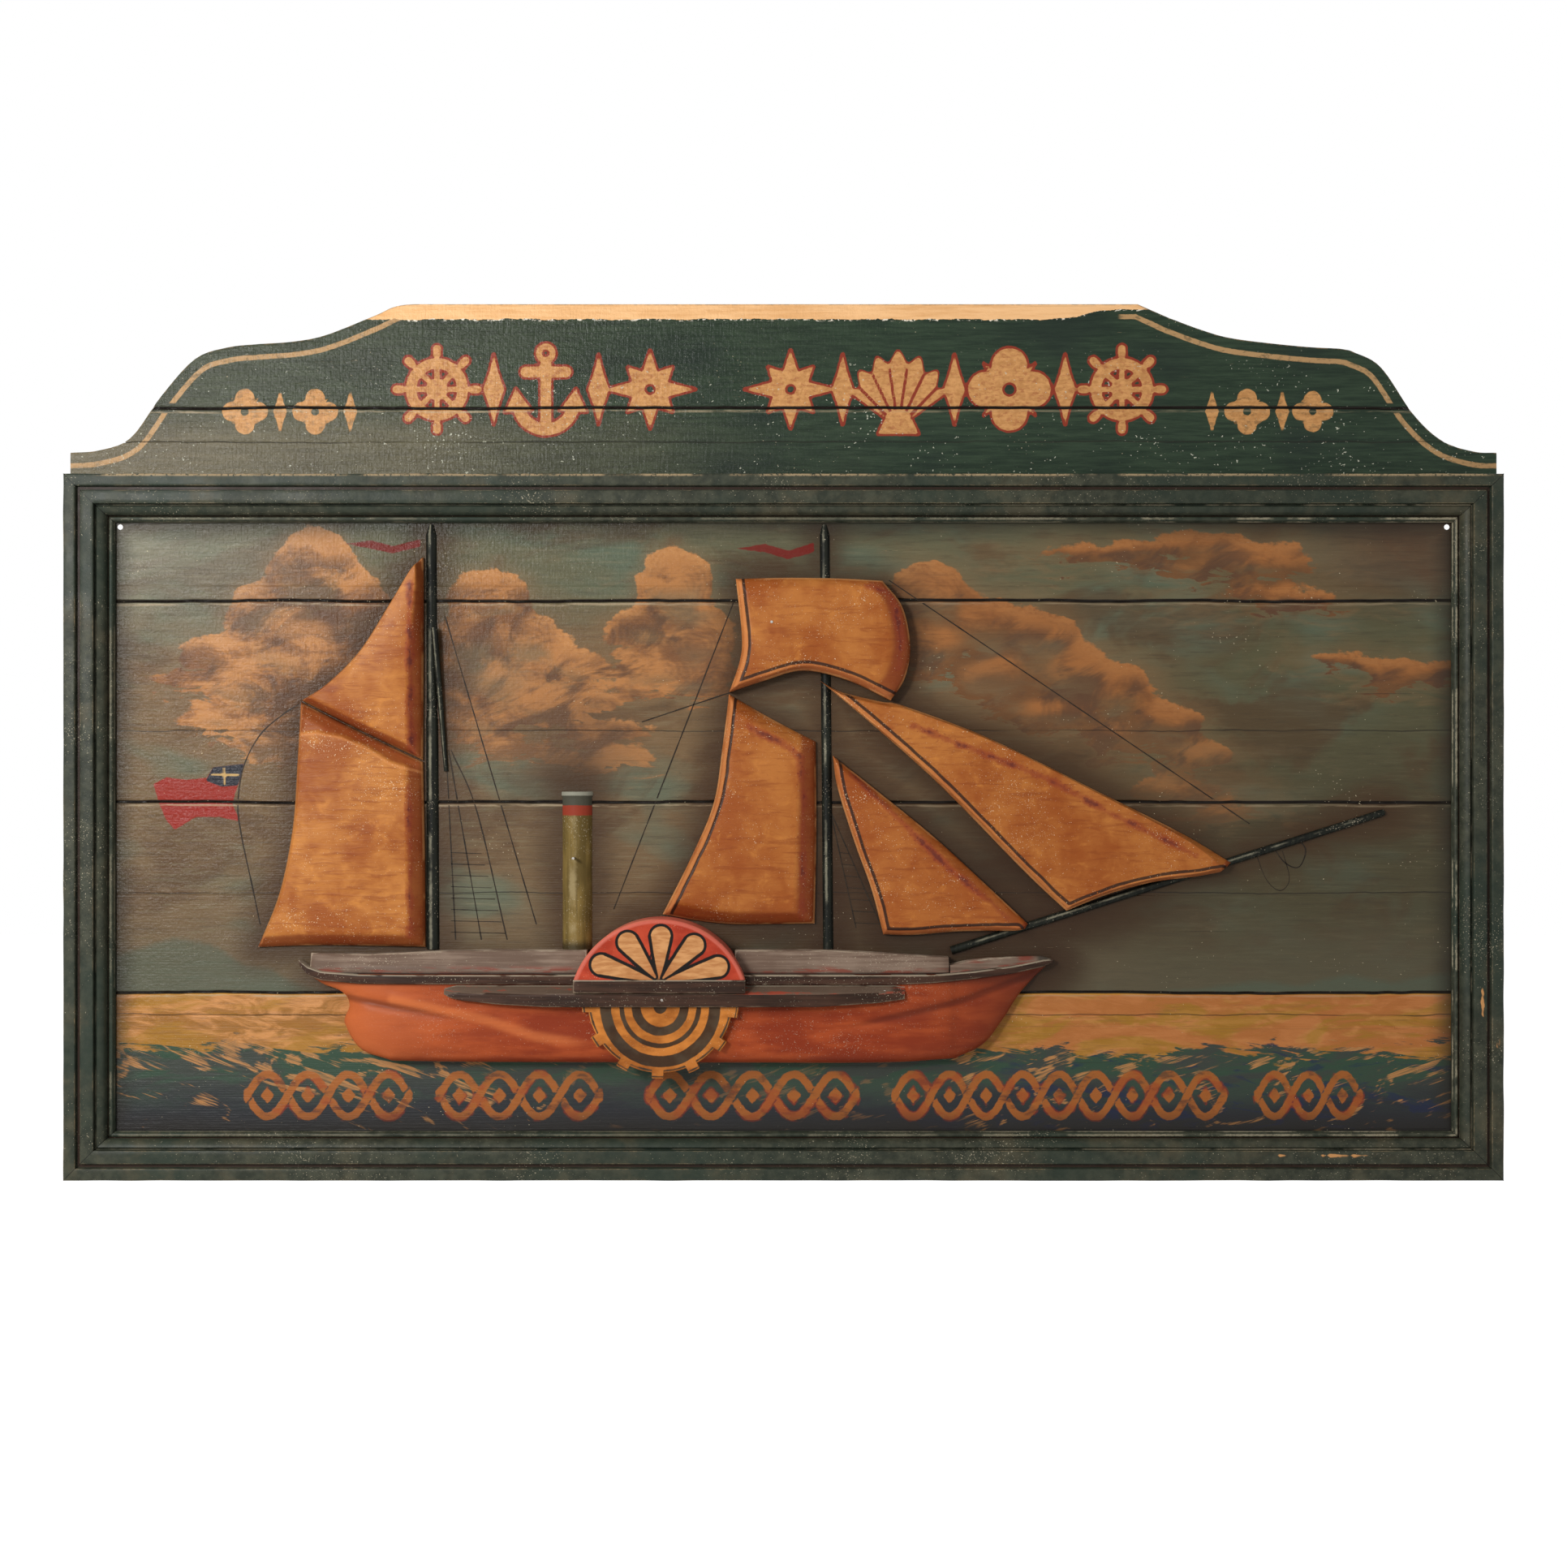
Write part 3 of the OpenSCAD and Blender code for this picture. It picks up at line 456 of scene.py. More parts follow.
def picture(x, z):
    """Every number of the painted picture, for places x, z in mm."""
    density, lift, arc = clouds(x, z)
    flag, corner, cross = ensign(x, z)
    inset_x = FRAME_HIGH[0] - OPENING_INSET
    rim = np.minimum.reduce([inset_x - np.abs(x), FRAME_HIGH[2] - OPENING_INSET - z,
                             z - FRAME_LOW[2] - OPENING_INSET])
    near = np.full(x.shape, FAR_FROM_RELIEF)
    panel = (np.abs(x) < inset_x) & (z < FRAME_HIGH[2] - OPENING_INSET) & (z > -300)
    if panel.any():
        near[panel] = near_relief(x[panel], z[panel])
    return {
        "crest_gap": np.minimum(to_line(x, z, CREST), FAR),
        "header": ornament(x, z, ORNAMENTS),
        "small": ornament(x, z, PLAIN_ORNAMENTS),
        "band": guilloche(x, z),
        "cloud": density,
        "lift": lift,
        "arc": arc,
        "flag": np.clip(flag, -FAR, FAR),
        "canton": np.clip(corner, -FAR, FAR),
        "cross": np.clip(cross, -FAR, FAR),
        "hill": height_at(HILLS, x) + 3 * ripple(x, 0 * x, 22, 8) - z,
        "near": np.clip(near, -FAR_FROM_RELIEF, FAR_FROM_RELIEF),
        "rim": rim,
    }


# Meshes


def piece(name, points, faces, look, slot, stands_for, facts, angle=35, weld=False):
    """Object from points in mm and faces, that rides on the sign and stands for CAD nodes."""
    mesh = bpy.data.meshes.new(name)
    mesh.from_pydata((np.asarray(points) * MM).tolist(), [], faces)
    for key, values in facts.items():
        attribute = mesh.attributes.new(key, "FLOAT", "POINT")
        attribute.data.foreach_set("value", np.asarray(values, np.float32))
    if weld:
        work = bmesh.new()
        work.from_mesh(mesh)
        bmesh.ops.remove_doubles(work, verts=work.verts, dist=1e-6)
        work.to_mesh(mesh)
        work.free()
    mesh.validate()
    mesh.shade_smooth()
    mesh.set_sharp_from_angle(angle=math.radians(angle))
    mesh.materials.append(look)
    obj = bpy.data.objects.new(name, mesh)
    bpy.context.scene.collection.objects.link(obj)
    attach(obj, "root")
    if stands_for:
        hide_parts(*stands_for)
    return obj


def rim_of(rows, cols):
    """Indices round the edge of a grid, from the lower left corner and along the foot."""
    return np.concatenate([
        np.arange(cols), np.arange(1, rows) * cols + cols - 1,
        (rows - 1) * cols + np.arange(cols - 2, -1, -1), np.arange(rows - 2, 0, -1) * cols])


def relief(name, x, z, front, back, look, slot, stands_for, facts, holes=(), **more):
    """Closed piece between a grid of x and z, front mm before the wall, and its back on the same grid."""
    rows, cols = x.shape
    back = back + 0.0 * x
    x, z, front = x.copy(), z.copy(), np.maximum(front, back + 0.05)
    back_x, back_z = x.copy(), z.copy()
    drop = np.zeros((rows - 1, cols - 1), bool)
    walls = []
    n = rows * cols
    for hx, hz, r in holes:
        c = int(np.argmin(np.abs(x[0] - hx)))
        k = int(np.argmin(np.abs(z[:, c] - hz)))
        span = [(k + dr, c + dc) for dr, dc in (
            (-1, -1), (-1, 0), (-1, 1), (0, 1), (1, 1), (1, 0), (1, -1), (0, -1))]
        for row, col in span:
            a = math.atan2(row - k, col - c)
            x[row, col], z[row, col] = hx + r * math.cos(a), hz + r * math.sin(a)
            wide = r * HOLE_FLARE
            back_x[row, col] = hx + math.copysign(HOLE_LEAN, hx) + wide * math.cos(a)
            back_z[row, col] = hz + HOLE_LEAN / 3 + wide * math.sin(a)
        drop[k - 1:k + 1, c - 1:c + 1] = True
        ring = [row * cols + col for row, col in span]
        walls += [[n + a, a, b, n + b] for a, b in zip(ring, ring[1:] + ring[:1])]
    first = (np.arange(rows - 1)[:, None] * cols + np.arange(cols - 1)[None, :])[~drop]
    face = np.stack([first, first + 1, first + 1 + cols, first + cols], 1)
    rim = rim_of(rows, cols)
    after = np.roll(rim, -1)
    side = np.stack([rim + n, after + n, after, rim], 1)
    points = np.concatenate([
        np.stack([x.ravel(), -front.ravel(), z.ravel()], 1),
        np.stack([back_x.ravel(), -back.ravel(), back_z.ravel()], 1)])
    faces = np.concatenate([face, face[:, ::-1] + n, side]).tolist() + walls
    both = {key: np.tile(np.asarray(v, float).ravel(), 2) for key, v in facts.items()}
    both["behind"] = np.concatenate([np.zeros(n), np.ones(n)])
    return piece(name, points, faces, look, slot, stands_for, both, **more)


# Materials


class Nodes:
    """Short calls that add shader nodes to a tree."""

    def __init__(self, tree):
        self.tree = tree

    def add(self, kind, values=(), **settings):
        """A new node. values are linked or set, by the order or the names of its sockets."""
        node = self.tree.nodes.new(kind)
        for key, value in settings.items():
            setattr(node, key, value)
        for socket, value in (values.items() if isinstance(values, dict) else enumerate(values)):
            if isinstance(value, bpy.types.NodeSocket):
                self.tree.links.new(value, node.inputs[socket])
            else:
                node.inputs[socket].default_value = value
        return node

    def math(self, operation, *values):
        """Result of a maths node."""
        return self.add("ShaderNodeMath", values, operation=operation).outputs[0]


class Look(Nodes):
    """A material, with short calls for the shader nodes that make its colour and surface."""

    def __init__(self, name, roughness, specular, metallic=0.0):
        self.material = bpy.data.materials.new(name)
        self.material.use_nodes = True
        super().__init__(self.material.node_tree)
        self.shader = self.tree.nodes["Principled BSDF"]
        self.shader.inputs["Roughness"].default_value = roughness
        self.shader.inputs["Specular IOR Level"].default_value = specular
        self.shader.inputs["Metallic"].default_value = metallic
        self.place = self.add("ShaderNodeTexCoord").outputs["Object"]
        split = self.add("ShaderNodeSeparateXYZ", [self.place])
        self.x = self.math("MULTIPLY", split.outputs[0], 1000.0)
        self.z = self.math("MULTIPLY", split.outputs[2], 1000.0)

    def fact(self, name):
        """A number kept with the mesh."""
        return self.add("ShaderNodeAttribute", attribute_name=name).outputs["Fac"]

    def step(self, value, low, high):
        """Smooth rise from 0 at low to 1 at high."""
        values = [value, low, high, 0.0, 1.0]
        return self.add("ShaderNodeMapRange", values, interpolation_type="SMOOTHSTEP").outputs[0]

    def noise(self, size, detail=3.0, rough=0.55, bend=0.0, seed=0.0, turn=0.0):
        """Noise from 0 to 1 with features of about size = (x, z) mm, turned by some degrees."""
        values = {"Vector": self.place, "Location": (seed * 0.73, seed * 0.31, seed * 0.57),
                  "Rotation": (0.0, math.radians(turn), 0.0),
                  "Scale": (size[0] * MM, max(size) * MM, size[1] * MM)}
        moved = self.add("ShaderNodeMapping", values, vector_type="TEXTURE").outputs[0]
        values = {"Vector": moved, "Scale": 1.0, "Detail": detail, "Roughness": rough, "Distortion": bend}
        return self.add("ShaderNodeTexNoise", values).outputs[0]

    def over(self, under, paint, *covers):
        """Paint laid over a colour, each (r, g, b) or from a node. Its covers from 0 to 1 multiply."""
        under, paint = (rgb(*c) if isinstance(c, tuple) else c for c in (under, paint))
        # A mix of colours has its factor in socket 0, its colours in 6 and 7, and its result in output 2
        values = {0: self.times(*covers), 6: under, 7: paint}
        return self.add("ShaderNodeMix", values, data_type="RGBA").outputs[2]

    def layers(self, colour, paints):
        """Paints laid one after another over a colour, each with its covers."""
        for paint, *covers in paints:
            colour = self.over(colour, paint, *covers)
        return colour

    def times(self, *values):
        """Product of numbers."""
        result = values[0]
        for v in values[1:]:
            result = self.math("MULTIPLY", result, v)
        return result

    def plus(self, a, b, share=1.0):
        """a and a share of b."""
        return self.math("MULTIPLY_ADD", b, share, a)

    def even(self, value):
        """A noise moved so that it lies about 0."""
        return self.math("SUBTRACT", value, 0.5)

    def apart(self, a, b):
        """How far two numbers are apart."""
        return self.math("ABSOLUTE", self.math("SUBTRACT", a, b))

    def flecks(self, size, rare, seed):
        """Tiny scattered chips: 1 inside a chip. The rarer, the fewer."""
        fine = self.noise((size, size * 0.8), 1.0, 0.5, seed=seed)
        where = self.noise((70.0, 42.0), 2.0, seed=seed + 0.5)
        found = self.plus(fine, where, 0.35)
        return self.step(found, rare, rare + 0.02)

    def finish(self, colour, height, depth, roughness=None):
        """Wires the colour, a bump of depth mm and, if given, the roughness."""
        self.tree.links.new(colour, self.shader.inputs["Base Color"])
        bump = self.add("ShaderNodeBump", {"Strength": 1.0, "Distance": depth * MM, "Height": height})
        self.tree.links.new(bump.outputs[0], self.shader.inputs["Normal"])
        if roughness is not None:
            self.tree.links.new(roughness, self.shader.inputs["Roughness"])
        return self.material


def sky_paint(k, fine, soft, crisp, strokes):
    """Olive and umber sky with broad clouds, and the hills under it."""
    x, z = k.x, k.z
    broad = k.noise((150, 60), 3.0, 0.5, 0.3, seed=6, turn=10)
    umber = k.noise((110, 60), 4.0, 0.6, 0.6, seed=7, turn=-12)
    across = k.plus(x, soft, 200.0)
    # Painted light falling off from the left: darker towards the lower right, and lighter strokes that grow
    # stronger to the left
    painted_shade_low_right = k.times(k.step(across, 60.0, 420.0), k.step(z, 60.0, -90.0))
    corner = k.times(k.step(x, 380.0, 520.0), k.step(z, 90.0, 150.0))
    left = k.plus(0.35, k.step(across, 420.0, 120.0), 0.65)
    sky = k.layers((96, 76, 52), (
        ((82, 80, 59), k.step(k.plus(z, soft, -120.0), 10.0, 90.0)),
        ((73, 70, 49), k.step(across, 260.0, 520.0)),
        ((77, 89, 73), k.step(broad, 0.5, 0.66), 0.7),
        ((70, 49, 31), k.step(umber, 0.48, 0.62), 0.65),
        ((56, 48, 33), painted_shade_low_right, 0.6),
        ((76, 54, 38), corner, 0.8),
        ((112, 94, 70), k.step(strokes, 0.52, 0.8), left, 0.36),
        ((112, 106, 82), k.step(fine, 0.5, 0.7), left, 0.28),
        ((50, 44, 34), k.step(fine, 0.46, 0.3), 0.35)))

    density, lift, arc = k.fact("cloud"), k.fact("lift"), k.fact("arc")
    base_side = k.step(lift, 0.2, -0.6)
    torn = k.times(k.even(strokes), k.plus(4.0, base_side, 48.0))
    blotch = k.noise((52, 30), 4.0, 0.6, 0.5, seed=8, turn=12)
    torn = k.plus(k.plus(torn, k.even(crisp), 4.0), k.even(blotch), 20.0)
    edge = k.plus(k.plus(density, torn), base_side, -3.0)
    rings = k.math("SINE", k.plus(k.times(arc, 1.2), crisp, 7.0))
    lit = k.plus(k.plus(k.times(lift, 0.16), k.even(blotch), 2.6), rings, 0.05)
    lit = k.plus(lit, k.even(fine), 0.6)
    bright = k.times(k.step(edge, 14.0, 3.0), k.step(lift, 0.2, 0.7), k.step(crisp, 0.3, 0.6))
    right = k.step(x, 60.0, 160.0)
    smoke = k.step(k.noise((70, 34), 4.0, 0.65, 0.6, seed=18, turn=-24), 0.46, 0.6)
    cloud = k.layers((108, 70, 42), (
        ((158, 106, 60), k.step(lit, -0.42, 0.3)),
        ((180, 128, 78), bright, 0.5),
        ((170, 118, 70), k.step(x, -330.0, -420.0), k.step(lit, -0.1, 0.3), 0.8),
        ((124, 72, 34), right, 0.55),
        ((84, 58, 36), right, k.step(k.plus(lift, blotch, 1.2), 1.05, 0.3), 0.75),
        ((74, 50, 36), smoke, k.step(lift, 0.7, 0.0), 0.85)))
    sky = k.over(sky, (116, 88, 58), k.step(edge, -16.0, 2.0), 0.3)
    sunk = k.step(k.plus(z, soft, 50.0), 64.0, -30.0)
    cover = k.math("SUBTRACT", k.plus(0.86, fine, 0.14), k.times(sunk, k.plus(0.1, strokes, 0.75)))
    thin = k.times(k.step(k.plus(lift, soft, 1.6), 1.1, 0.4), k.step(edge, 3.0, 16.0))
    cover = k.times(cover, k.math("SUBTRACT", 1.0, k.times(thin, k.plus(0.25, blotch, 0.7))))
    sky = k.over(sky, cloud, k.step(edge, -0.6, 1.4), cover)

    haze = k.times(k.step(k.plus(z, soft, 60.0), -90.0, -190.0), 0.55)
    sky = k.over(sky, (80, 74, 58), haze)
    hill = k.step(k.plus(k.fact("hill"), crisp, 4.0), 0.5, 8.0)
    sky = k.over(sky, (68, 76, 62), hill, k.plus(0.4, fine, 0.5))
    plume = k.times(k.step(k.apart(x, -180.0), 70.0, 10.0), k.step(z, -60.0, -20.0), k.step(z, 60.0, 0.0))
    return k.over(sky, (74, 54, 38), plume, 0.55), edge


def sea_paint(k, soft, fine):
    """Pale band along the horizon, then dark green water that turns navy, with brushed pale crests."""
    x, z = k.x, k.z
    swell = k.noise((96, 26), 4.0, 0.6, 1.2, seed=12, turn=-6)
    mottle = k.noise((40, 11), 5.0, 0.62, 0.9, seed=13, turn=6)
    right = k.step(k.plus(x, soft, 200.0), 160.0, 360.0)
    pale = k.layers((132, 88, 38), (
        ((176, 122, 72), k.step(mottle, 0.42, 0.62)),
        ((138, 98, 32), k.step(swell, 0.48, 0.62), 0.75),
        ((116, 78, 40), k.step(fine, 0.48, 0.3), 0.5),
        ((154, 92, 48), right, k.step(swell, 0.62, 0.46), 0.75),
        ((170, 120, 40), k.step(z, HORIZON - 3.0, HORIZON - 0.5))))
    green = k.times(k.step(swell, 0.42, 0.56), k.step(z, -322.0, -272.0))
    water = k.layers((50, 54, 48), (
        ((33, 34, 37), k.step(k.plus(z, swell, 40.0), -262.0, -300.0)),
        ((40, 62, 46), green, 0.85),
        ((24, 31, 58), k.step(mottle, 0.54, 0.64), right, 0.6)))
    left = k.step(x, -40.0, -160.0)
    middle = k.step(k.apart(x, -40.0), 130.0, 200.0)
    for turn, seed, side in ((20, 11, left), (-19, 14, k.math("SUBTRACT", 1.0, left))):
        wave = k.noise((64, 26), 3.0, 0.5, 2.2, seed=seed, turn=turn)
        bristle = k.noise((40, 1.6), 3.0, 0.6, 1.0, seed=seed + 0.3, turn=turn)
        crest = k.step(k.plus(k.plus(wave, bristle, 0.3), k.step(z, -330.0, -262.0), 0.1), 0.775, 0.85)
        share = k.times(k.plus(0.25, middle, 0.75), side, k.plus(0.3, k.step(bristle, 0.36, 0.6), 0.6))
        water = k.over(water, (160, 112, 66), crest, share)
    shore = k.plus(k.plus(z, swell, 60.0), k.noise((60, 6), 5.0, 0.68, 1.2, seed=16, turn=8), 44.0)
    shore = k.plus(shore, right, 6.0)
    return k.over(water, pale, k.step(shore, -208.0, -204.5))


def header_paint(k, fine, soft, crisp, worn):
    """Dark green, ochre ornaments with a red line round them, an ochre stripe, a bare top and painted glare
    on the left.
    """
    x, z = k.x, k.z
    # Painted glare: a pale veil over the lower left of the header
    painted_glare_on_header = k.times(k.step(k.plus(x, soft, 300.0), 250.0, -450.0), k.plus(0.25, fine, 0.5))
    painted_glare_on_header = k.times(painted_glare_on_header, k.plus(0.35, k.step(k.plus(z, soft, 24.0), 304.0, 266.0), 1.0))
    rough_edge = k.plus(k.even(crisp), k.even(fine), 0.7)
    ochre = k.over((164, 116, 68), (186, 136, 84), k.step(k.plus(crisp, fine, 0.6), 0.6, 1.0))
    shape = k.plus(k.fact("header"), rough_edge, 1.4)
    green = k.layers((26, 39, 28), (
        ((42, 56, 41), k.step(fine, 0.32, 0.7)),
        ((22, 31, 27), k.step(soft, 0.5, 0.7), 0.6),
        ((108, 97, 76), painted_glare_on_header),
        ((126, 44, 28), k.step(shape, 2.2, 1.6), 0.88),
        (ochre, k.step(shape, 0.3, -0.5), k.plus(0.6, worn, 0.38))))
    shape = k.plus(k.fact("small"), rough_edge, 1.4)
    middle = k.apart(k.plus(k.fact("crest_gap"), crisp, 1.0), 11.8)
    curved = k.step(k.apart(x, -20.0), 305.0, 310.0)
    whole = k.step(k.apart(z, 284.0), 3.5, 5.0)
    stripe = k.times(k.step(middle, 2.5, 1.8), curved, whole, k.plus(0.45, worn, 0.4))
    top = k.plus(k.plus(z, k.noise((16, 8), 4.0, 0.7, seed=23), 6.0), k.step(x, 225.0, 290.0), -9.0)
    bare = k.over((202, 152, 100), (220, 174, 124), k.step(k.plus(fine, soft, 0.8), 0.6, 1.1))
    in_crest = k.step(k.apart(x, -25.0), 340.0, 330.0)
    chips = k.times(k.step(top, 361.0, 362.4), k.step(crisp, 0.54, 0.6), in_crest)
    green = k.layers(green, (
        (ochre, k.step(shape, 0.3, -0.5), k.plus(0.55, worn, 0.38)),
        ((168, 132, 90), stripe),
        ((226, 216, 198), chips, 0.85),
        (bare, k.step(top, 362.6, 363.2), in_crest)))
    lost = k.times(k.flecks(2.6, 0.925, 24), k.step(z, 345.0, 300.0))
    return k.over(green, (176, 176, 158), lost, 0.75)


def board_look():
    """The painted boards: header, sky, clouds, sea, ornaments and bare wood behind."""
    k = Look("board_paint", roughness=0.36, specular=0.13)
    x, z = k.x, k.z
    fine = k.noise((30, 2.2), 4.0, 0.62, seed=1)
    soft = k.noise((130, 70), 3.0, 0.5, seed=2)
    crisp = k.noise((4.5, 3.2), 3.0, 0.6, seed=3)
    strokes = k.noise((34, 9), 4.0, 0.6, 0.7, seed=4)
    worn = k.step(k.noise((7, 4), 4.0, 0.7, seed=21), 0.36, 0.5)

    sky, cloud_edge = sky_paint(k, fine, soft, crisp, strokes)
    # Dark umber round the carved pieces: partly the sign's own glaze and grime, partly painted shade where
    # the pieces meet the boards
    glaze_and_shade = k.step(k.plus(k.fact("near"), soft, 30.0), 50.0, 13.0)
    # Painted shade between the sails, the hull and the paddle box
    painted_shade_among_relief = k.times(k.step(x, -100.0, 20.0), k.step(x, 400.0, 250.0),
                    k.step(k.plus(z, soft, 60.0), 20.0, -110.0))
    # Painted glare: a pale veil over the upper left of the sky
    painted_glare = k.times(k.step(k.plus(x, soft, 90.0), -300.0, -520.0),
                    k.step(k.plus(z, soft, 60.0), 80.0, 200.0))
    sky = k.layers(sky, (
        ((54, 36, 20), glaze_and_shade, k.plus(0.58, strokes, 0.5)),
        ((40, 23, 11), painted_shade_among_relief, k.step(k.fact("near"), 52.0, 16.0), 0.62),
        ((140, 136, 120), painted_glare, k.plus(0.1, fine, 0.45))))
    scene = k.over(sky, sea_paint(k, soft, fine), k.step(k.plus(z, crisp, 1.5), HORIZON + 1.5, HORIZON))

    flag = k.step(k.plus(k.fact("flag"), crisp, 1.6), 1.4, 0.4)
    red = k.over((128, 30, 22), (96, 18, 12), k.step(z, 140.0, 150.0))
    ribbons = k.plus(k.fact("band"), k.even(crisp), 2.2)
    band = k.step(ribbons, 0.5, -0.4)
    faded = k.step(k.noise((34, 12), 4.0, 0.6, seed=22), 0.3, 0.5)
    tint = k.step(k.noise((24, 16), 3.0, seed=25), 0.5, 0.6)
    outer = k.step(ribbons, 1.7, 0.7)
    rust = k.over((110, 58, 26), (140, 80, 34), k.step(k.plus(crisp, faded, 0.6), 0.5, 1.0))
    rust = k.over(rust, (130, 50, 28), tint, 0.4)
    scene = k.layers(scene, (
        (red, flag, k.plus(0.76, fine, 0.3)),
        ((34, 34, 40), k.step(k.fact("canton"), 0.8, -0.2)),
        ((168, 136, 84), k.step(k.fact("cross"), 0.5, -0.3)),
        ((112, 40, 24), outer, tint, 0.7),
        (rust, band, k.plus(0.6, faded, 0.34))))
    header = header_paint(k, fine, soft, crisp, worn)
    colour = k.over(scene, header, k.step(z, HEADER_FOOT, HEADER_FOOT + 1.0))

    groove = k.fact("groove")
    # Painted highlight along the lower edge of each groove, stronger to the left
    painted_groove_highlight = k.times(k.step(groove, -4.6, -3.2), k.step(groove, -1.7, -2.5), k.step(fine, 0.4, 0.6))
    painted_groove_highlight = k.times(painted_groove_highlight, k.plus(0.3, k.step(x, 60.0, -160.0), 0.3))
    colour = k.over(colour, (158, 140, 112), painted_groove_highlight)
    colour = k.over(colour, (22, 17, 13), k.step(k.math("ABSOLUTE", groove), 1.8, 0.8))
    wander = k.plus(z, k.noise((40, 40), 3.0, seed=17), 5.0)
    for level in HAIRLINES:
        line = k.times(k.step(k.apart(wander, level + 2.5), 0.75, 0.2), k.step(soft, 0.34, 0.5), 0.7)
        colour = k.over(colour, (24, 20, 16), line)
    # Darker along the frame opening: partly dirt, partly painted shade under the moulding
    rim_dirt_and_shade = k.times(k.step(k.plus(k.fact("rim"), soft, -16.0), 14.0, -10.0), k.step(z, 195.0, 190.0), 0.75)
    cracks = k.step(k.noise((160, 0.9), 3.0, 0.6, 0.3, seed=31), 0.67, 0.73)
    rubbed = k.step(k.noise((50, 1.6), 4.0, 0.7, 0.5, seed=33), 0.69, 0.75)
    dots = k.flecks(2.0, 0.955, 35)
    worn_edge = k.times(k.step(k.fact("crest_gap"), 1.4, 0.5), k.step(crisp, 0.42, 0.6))
    colour = k.layers(colour, (
        ((30, 26, 20), rim_dirt_and_shade),
        ((26, 22, 17), cracks, k.step(soft, 0.4, 0.6), 0.5),
        ((176, 150, 116), rubbed, k.step(crisp, 0.45, 0.6), 0.4),
        ((190, 176, 146), dots, 0.6),
        ((132, 110, 80), worn_edge, 0.6)))

    figure = k.plus(k.noise((190, 34), 2.0, 0.4, 0.8, seed=39), k.fact("tone"), 0.6)
    figure = k.math("SINE", k.times(figure, 60.0))
    pine = k.layers((150, 112, 74), (
        ((190, 150, 104), k.step(k.noise((90, 3), 4.0, seed=37), 0.35, 0.65)),
        ((122, 84, 50), k.step(figure, 0.1, 0.95), 0.55),
        ((128, 90, 56), k.fact("tone"), 0.5),
        ((36, 26, 18), k.step(k.fact("seam"), 1.1, 0.4))))
    colour = k.over(colour, pine, k.step(k.fact("behind"), 0.6, 0.9))
    brush = k.noise((60, 0.9), 4.0, 0.6, seed=5)
    hatch = k.noise((1.6, 14), 3.0, 0.5, 0.3, seed=9)
    upper_left = k.step(k.plus(k.math("SUBTRACT", z, x), soft, 160.0), 200.0, 600.0)
    peel = k.noise((3.4, 2.6), 2.0, 0.5, seed=10)
    height = k.plus(brush, k.times(k.plus(hatch, peel, 1.4), upper_left), 1.2)
    height = k.plus(height, peel, 0.5)
    height = k.plus(k.plus(height, k.step(cloud_edge, -0.6, 1.2), 0.12), band, 0.2)
    height = k.plus(height, rubbed, -0.4)
    rough = k.plus(k.plus(0.24, k.noise((30, 12), 3.0, seed=43), 0.26), upper_left, -0.14)
    return k.finish(colour, height, 0.3, rough)


def frame_look():
    """Gloss green paint gone nearly black, with brown quirks, pale where its arrises are rubbed, and painted
    highlights along its beads.
    """
    k = Look("frame_paint", roughness=0.4, specular=0.11)
    fine = k.noise((9, 9), 4.0, 0.62, seed=51)
    soft = k.noise((100, 100), 3.0, seed=52)
    crisp = k.noise((2.6, 2.6), 3.0, 0.6, seed=53)
    patchy = k.noise((46, 46), 4.0, 0.6, seed=55)
    arris = k.plus(k.fact("arris"), crisp, 1.1)
    rubbed = k.times(k.step(arris, 1.1, 0.6), k.step(patchy, 0.47, 0.6))
    # Pale lines along the beads, broken up in patches and stronger to the right: painted highlights
    pale = k.times(k.step(k.plus(k.fact("bead"), crisp, 1.6), 1.9, 1.2), k.step(patchy, 0.44, 0.54))
    pale = k.times(pale, k.plus(0.4, k.step(k.x, 0.0, 480.0), 0.8))
    crown = k.times(k.step(k.z, FRAME_HIGH[2] - 3.0, FRAME_HIGH[2] - 1.6), k.step(patchy, 0.36, 0.5))
    colour = k.layers((38, 41, 33), (
        ((62, 63, 51), k.step(fine, 0.3, 0.75)),
        ((36, 46, 38), k.step(soft, 0.42, 0.68), 0.7),
        ((82, 74, 56), k.step(patchy, 0.52, 0.7), 0.4),
        ((128, 112, 84), rubbed, 0.6),
        ((160, 150, 126), pale, 0.5),
        ((46, 28, 20), k.step(k.fact("quirk"), 1.6, 0.6), 0.85),
        ((158, 136, 104), crown, k.step(crisp, 0.36, 0.5), 0.7),
        ((12, 12, 10), k.step(k.fact("mitre"), 0.6, 0.2), 0.8),
        ((170, 160, 136), k.flecks(1.4, 0.9, 57), 0.5),
        ((184, 132, 82), k.step(k.fact("chip"), 0.35, 0.55), 0.9)))
    height = k.plus(k.plus(fine, crisp, 0.3), rubbed, -0.5)
    rough = k.plus(0.26, k.noise((24, 24), 3.0, seed=58), 0.3)
    return k.finish(colour, height, 0.28, rough)


